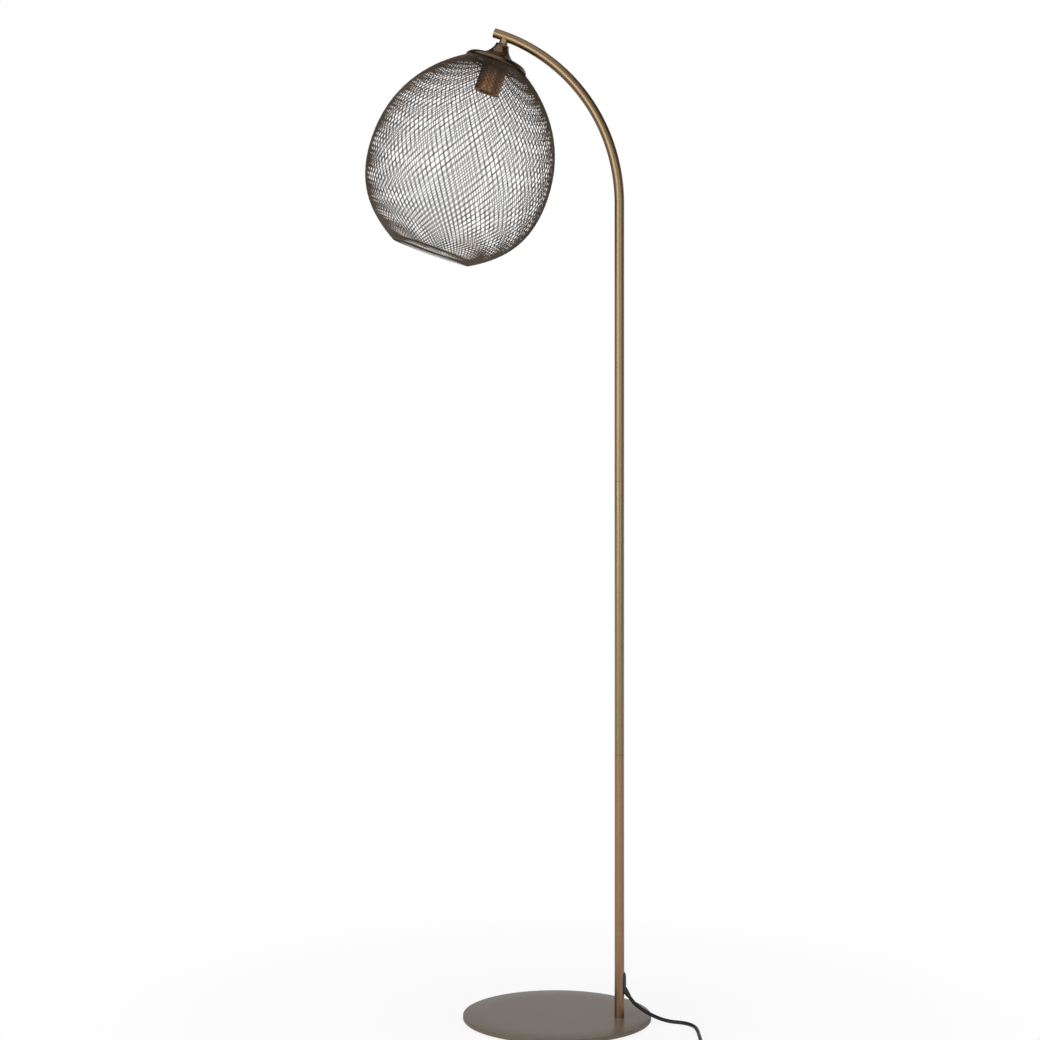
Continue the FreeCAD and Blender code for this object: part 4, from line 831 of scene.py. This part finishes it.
class LAMP_OT_cap(bpy.types.Operator):
    """Turns the trumpet shaped cap with its thin wall and rim"""

    bl_idname = "lamp.cap"
    bl_label = "Cap"

    def execute(self, context):
        top = CAP_TOP
        outside = [(5.1, top), (10.9, top), (11.4, top - 0.5), (11.4, top - 3)]
        outside += arc_between((11.4, top - 3), (41.5, top - 24), 31, 20)
        outside += arc_between((41.5, top - 24), (50.7, top - 31.0), -13, 12)
        outside += [(51.0, top - 31.4), (51.0, top - 32.2), (50.7, top - 32.5),
                    (50.0, top - 32.5)]
        inside = [(50.0, top - 31.2)]
        inside += arc_between((49.8, top - 31.0), (41.1, top - 24.9), 12, 12)
        inside += arc_between((41.1, top - 24.9), (10.4, top - 3), -32, 20)
        inside += [(10.4, top - 1), (5.1, top - 1), (5.1, top)]
        cap = turned(outside + inside, 128, closed=True)
        settle(cap, "cap_trumpet", "bronze_dark", "head", ["shade_cap"], HEAD, 40)
        return {"FINISHED"}


def cubic(points, share):
    """The place on a curve with four control points, and the way the curve runs there."""
    a, b, c, d = points
    left = 1 - share
    place = a * left**3 + b * (3 * left**2 * share) + c * (3 * left * share**2) + d * share**3
    run = (b - a) * left**2 + (c - b) * (2 * left * share) + (d - c) * share**2
    return place, run.normalized()


def shade_line(share):
    """The shade's outline as (radius, depth under the arm) and the way it runs."""
    if share <= 0.5:
        upper = (SHADE_TOP, SHADE_TOP + SHADE_LEAVES, SHADE_WIDEST - SHADE_SWELLS, SHADE_WIDEST)
        return cubic(upper, share * 2)
    lower = (SHADE_WIDEST, SHADE_WIDEST + SHADE_SHRINKS, SHADE_BOTTOM - SHADE_ARRIVES,
             SHADE_BOTTOM)
    return cubic(lower, share * 2 - 1)


def wire_line(outwards, hand, steps):
    """Points of one wire, in metres, wound at a steady slant over the shade's outline. The
    winding is added up in steps finer than the points."""
    slant = math.tan(sizes().wire_slant) * hand
    points = []
    turn = 0.0
    fine = 8
    before = shade_line(0)[0]
    for k in range(steps * fine + 1):
        place, run = shade_line(k / (steps * fine))
        turn += slant * (place - before).length / ((place.x + before.x) / 2)
        before = place
        if k % fine == 0:
            at = place + Vector((run.y, -run.x)) * outwards
            points.append((math.cos(turn) * at.x * MM, math.sin(turn) * at.x * MM, -at.y * MM))
    return points


class LAMP_OT_cage(bpy.types.Operator):
    """Winds the two layers of slanting wires and the rings that they are welded to"""

    bl_idname = "lamp.cage"
    bl_label = "Cage"

    def wind(self, context, name, outwards, hand):
        """One wire of a layer, as a mesh."""
        start_clean()
        curve = bpy.data.curves.new(name, "CURVE")
        curve.dimensions = "3D"
        points = wire_line(outwards, hand, 36)
        spline = curve.splines.new("POLY")
        spline.points.add(len(points) - 1)
        for point, place in zip(spline.points, points):
            point.co = (*place, 1)
        curve.bevel_depth = sizes().wire_radius
        curve.bevel_resolution = 1
        curve.use_fill_caps = True
        wire = bpy.data.objects.new(name, curve)
        context.scene.collection.objects.link(wire)
        pick(wire)
        bpy.ops.object.convert(target="MESH")
        wire = context.object
        bpy.ops.object.mode_set(mode="EDIT")
        bpy.ops.mesh.select_all(action="SELECT")
        bpy.ops.mesh.remove_doubles(threshold=1e-6)
        bpy.ops.object.mode_set(mode="OBJECT")
        return wire

    def execute(self, context):
        count = sizes().wire_count
        for name, node, outwards, hand in (
            ("wires_inner", "cage_wires_inner", -LAYER_OFFSET, 1),
            ("wires_outer", "cage_wires_outer", LAYER_OFFSET, -1),
        ):
            wire = self.wind(context, name, outwards, hand)
            copies = [wire]
            for k in range(1, count):
                copy = wire.copy()
                copy.data = wire.data.copy()
                copy.rotation_euler.z = 2 * math.pi * k / count
                context.scene.collection.objects.link(copy)
                copies.append(copy)
            pick(*copies)
            bpy.ops.object.join()
            settle(context.object, name, "wire_bronze", "head",
                   [node + "_even", node + "_odd"], HEAD, 50)

        for name, node, (reach, depth, thick) in (
            ("ring_top", "cage_top_ring", RING_TOP),
            ("ring_bottom", "cage_bottom_ring", RING_BOTTOM),
        ):
            start_clean()
            bpy.ops.mesh.primitive_torus_add(
                major_segments=160, minor_segments=20, major_radius=reach * MM,
                minor_radius=thick / 2 * MM, location=(0, 0, -depth * MM))
            settle(context.object, name, "wire_bronze", "head", [node], HEAD, 60)
        return {"FINISHED"}


class LAMP_OT_lampholder(bpy.types.Operator):
    """Turns the lampholder's cover, its dark body and the brass shell for the bulb"""

    bl_idname = "lamp.lampholder"
    bl_label = "Lampholder"

    def execute(self, context):
        top, mouth = HOLDER_TOP, HOLDER_MOUTH
        bend = [
            (18.9 + 1.6 * math.sin(a), top - 1.6 + 1.6 * math.cos(a))
            for a in (math.radians(18 * k) for k in range(6))
        ]
        profile = [(5.1, top), (12, top), *bend, (20.5, mouth + 0.3), (20.2, mouth),
                   (19.7, mouth), (19.5, mouth + 0.3), (19.5, top - 1), (5.1, top - 1),
                   (5.1, top)]
        cover = turned(profile, 96, closed=True)
        settle(cover, "holder_cover", "holder_bronze", "head",
               ["lampholder_cover"], HEAD, 40)
        low = mouth + 1.5
        body = turned([(13.75, low + 0.4), (14.1, low), (19.0, low), (19.45, low + 0.5),
                       (19.45, -60), (1.0, -60), (1.0, low + 25), (13.75, low + 25),
                       (13.75, low + 0.4)], 72, closed=True)
        settle(body, "holder_insert", "holder_black", "head",
               ["lampholder_body"], HEAD, 30)
        thread = [(13.7, low), (13.3, low)]
        for k in range(6):
            at = low + 1 + 3.4 * k
            thread += [(13.3, at), (13.42, at + 0.8), (13.42, at + 1.6), (13.3, at + 2.4)]
        thread += [(13.3, low + 22.2), (13.7, low + 22.2), (13.7, low)]
        shell = turned(thread, 72, closed=True)
        settle(shell, "holder_screw_shell", "brass", "head", ["socket_shell"], HEAD, 40)
        return {"FINISHED"}


# ---------------------------------------------------------------- foot switch and plug

class LAMP_OT_switch(bpy.types.Operator):
    """Shapes the foot switch housing, its button and the ribbed boots"""

    bl_idname = "lamp.foot_switch"
    bl_label = "Foot switch"

    def execute(self, context):
        place = Matrix.Translation((SWITCH_CENTRE[0] * MM, SWITCH_CENTRE[1] * MM, 0))
        straight = (SWITCH_HALF_LENGTH - SWITCH_ROUND) * MM
        for name, node, low, high, top_round in (
            ("switch_tray", "foot_switch_base", 0, 7.9, 0.6),
            ("switch_lid", "foot_switch_cover", 8.1, 19, 3.6),
        ):
            start_clean()
            bpy.ops.mesh.primitive_cylinder_add(
                vertices=96, radius=SWITCH_ROUND * MM, depth=(high - low) * MM,
                location=(0, 0, (high + low) / 2 * MM))
            shell = context.object
            bpy.ops.object.transform_apply(location=True)
            bpy.ops.object.mode_set(mode="EDIT")
            mesh = bmesh.from_edit_mesh(shell.data)
            for vert in mesh.verts:
                if abs(vert.co.x) > 1e-6:
                    vert.co.x += math.copysign(straight, vert.co.x)
            bmesh.update_edit_mesh(shell.data)
            rim = (high - 0.01) * MM
            select_edges(shell, lambda a, b: min(a.z, b.z) > rim)
            bpy.ops.mesh.bevel(offset=top_round * MM, segments=8, affect="EDGES")
            bpy.ops.object.mode_set(mode="OBJECT")
            if node == "foot_switch_cover":
                start_clean()
                bpy.ops.mesh.primitive_cylinder_add(
                    vertices=96, radius=12.4 * MM, depth=30 * MM, location=(0, 0, 15 * MM))
                well = context.object
                apply_modifier(shell, "BOOLEAN", object=well, operation="DIFFERENCE")
                pick(well)
                bpy.ops.object.delete()
            settle(shell, name, "switch_black", "stand", [node], place)

        flange = [(14.0, 15.5), (14.0, 17.0), (12.0, 17.0)]
        dish = [(12.0, 22.2), (11.7, 22.7), (11.2, 23.0), (9.5, 23.0), (8.8, 22.7), (6.0, 22.5),
                (3.0, 22.4)]
        button = turned([*flange, *dish], 72)
        settle(button, "switch_push", "switch_black", "switch_button",
               ["foot_switch_button"], place)

        ribs = grooves([5 + 3.2 * k for k in range(5)], 4.65, 0.2, 0.5, 0.3, 1.1, 1.4, 0.08)
        profile = [(4.85, -3), (4.85, 1), (4.8, 3), *ribs, (3.5, 23.6), (3.3, 24)]
        for name, sign in (("switch_boot_in", 1), ("switch_boot_out", -1)):
            turn = Matrix.Rotation(math.radians(90 * sign), 4, "Y")
            boot = turned(profile, 48)
            root = Matrix.Translation((SWITCH_HALF_LENGTH * sign * MM, 0, CORD_IN_SWITCH * MM))
            settle(boot, name, "cord_moulding", "stand",
                   ["foot_switch_boots"], place @ root @ turn)
        return {"FINISHED"}


class LAMP_OT_plug(bpy.types.Operator):
    """Shapes the flat plug body, the boot on the cord and the round nosed pins"""

    bl_idname = "lamp.plug"
    bl_label = "Plug"

    def execute(self, context):
        low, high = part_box("plug_body")
        middle = (low + high) / 2
        start_clean()
        bpy.ops.mesh.primitive_cube_add(size=1, location=middle)
        body = context.object
        bpy.ops.transform.resize(value=high - low)
        bpy.ops.object.transform_apply(location=True, scale=True)
        bpy.ops.object.mode_set(mode="EDIT")
        select_edges(body, lambda a, b: abs(a.x - b.x) > 1e-6)
        bpy.ops.mesh.bevel(offset=6.6 * MM, segments=12, affect="EDGES")
        select_edges(body, lambda a, b: abs(a.x - b.x) < 1e-6)
        bpy.ops.mesh.bevel(offset=1.2 * MM, segments=4, affect="EDGES")
        bpy.ops.object.mode_set(mode="OBJECT")
        settle(body, "plug_shell", "switch_black", "stand", ["plug_body"])

        turn = Matrix.Rotation(math.radians(90), 4, "Y")
        ribs = grooves([2.5 + 3.6 * k for k in range(5)], 3.75, -0.2, 0.45, 0.3, 1.2, 1.5, -0.1)
        boot = turned([(3.3, 0), (3.5, 0.4), *ribs, (4.9, 24), (4.95, 26)], 48)
        box_low, box_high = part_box("plug_boot")
        at = Vector((box_low.x, (box_low.y + box_high.y) / 2, (box_low.z + box_high.z) / 2))
        settle(boot, "plug_strain_relief", "cord_moulding", "stand",
               ["plug_boot"], Matrix.Translation(at) @ turn)

        pins_low, pins_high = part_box("plug_pins")
        pins = []
        for y in (pins_low.y + 2 * MM, pins_high.y - 2 * MM):
            pin = turned([(2.0, 0), (2.0, 17.4), (1.7, 18.3), (1.1, 18.9), (0.6, 19)], 32)
            pin.matrix_world = Matrix.Translation((pins_low.x, y, at.z)) @ turn
            pins.append(pin)
        pick(*pins)
        bpy.ops.object.transform_apply(location=True, rotation=True, scale=True)
        bpy.ops.object.join()
        settle(context.object, "plug_contacts", "brass", "stand", ["plug_pins"])
        return {"FINISHED"}


# ---------------------------------------------------------------- finishes on the rest

class LAMP_OT_finishes(bpy.types.Operator):
    """Gives every part that keeps its own shape its finish"""

    bl_idname = "lamp.finishes"
    bl_label = "Finishes"

    def execute(self, context):
        for name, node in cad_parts.items():
            finish = finish_named(NODE_FINISHES.get(name, "bronze_upper"))
            for place in node.material_slots:
                place.material = finish
        return {"FINISHED"}


# In the order in which main() runs them; the cord comes last.
STEPS = (
    LAMP_OT_finishes, LAMP_OT_stage, LAMP_OT_base, LAMP_OT_pole, LAMP_OT_arm, LAMP_OT_outlet,
    LAMP_OT_cap, LAMP_OT_cage, LAMP_OT_lampholder, LAMP_OT_switch, LAMP_OT_plug, LAMP_OT_cord,
)


class LAMP_PT_panel(bpy.types.Panel):
    """Lists the lamp's sizes, colours and building steps"""

    bl_idname = "LAMP_PT_panel"
    bl_label = "Wire cage floor lamp"
    bl_space_type = "VIEW_3D"
    bl_region_type = "UI"
    bl_category = "Lamp"

    def draw(self, context):
        for group in (context.scene.lamp_sizes, context.scene.lamp_colours):
            box = self.layout.box()
            for name in group.__annotations__:
                box.prop(group, name)
        for step in STEPS:
            self.layout.operator(step.bl_idname)


CLASSES = (LampSizes, LampColours, *STEPS, LAMP_PT_panel)


def register():
    for each in CLASSES:
        bpy.utils.register_class(each)
    bpy.types.Scene.lamp_sizes = PointerProperty(type=LampSizes)
    bpy.types.Scene.lamp_colours = PointerProperty(type=LampColours)


def unregister():
    del bpy.types.Scene.lamp_colours
    del bpy.types.Scene.lamp_sizes
    for each in reversed(CLASSES):
        bpy.utils.unregister_class(each)


def main():
    register()
    bpy.ops.lamp.finishes()
    bpy.ops.lamp.stage()
    bpy.ops.lamp.base()
    bpy.ops.lamp.pole()
    bpy.ops.lamp.arm()
    bpy.ops.lamp.outlet()
    bpy.ops.lamp.cap()
    bpy.ops.lamp.cage()
    bpy.ops.lamp.lampholder()
    bpy.ops.lamp.foot_switch()
    bpy.ops.lamp.plug()
    bpy.ops.lamp.cord()
    bpy.context.view_layer.update()


if __name__ == "__main__":
    main()
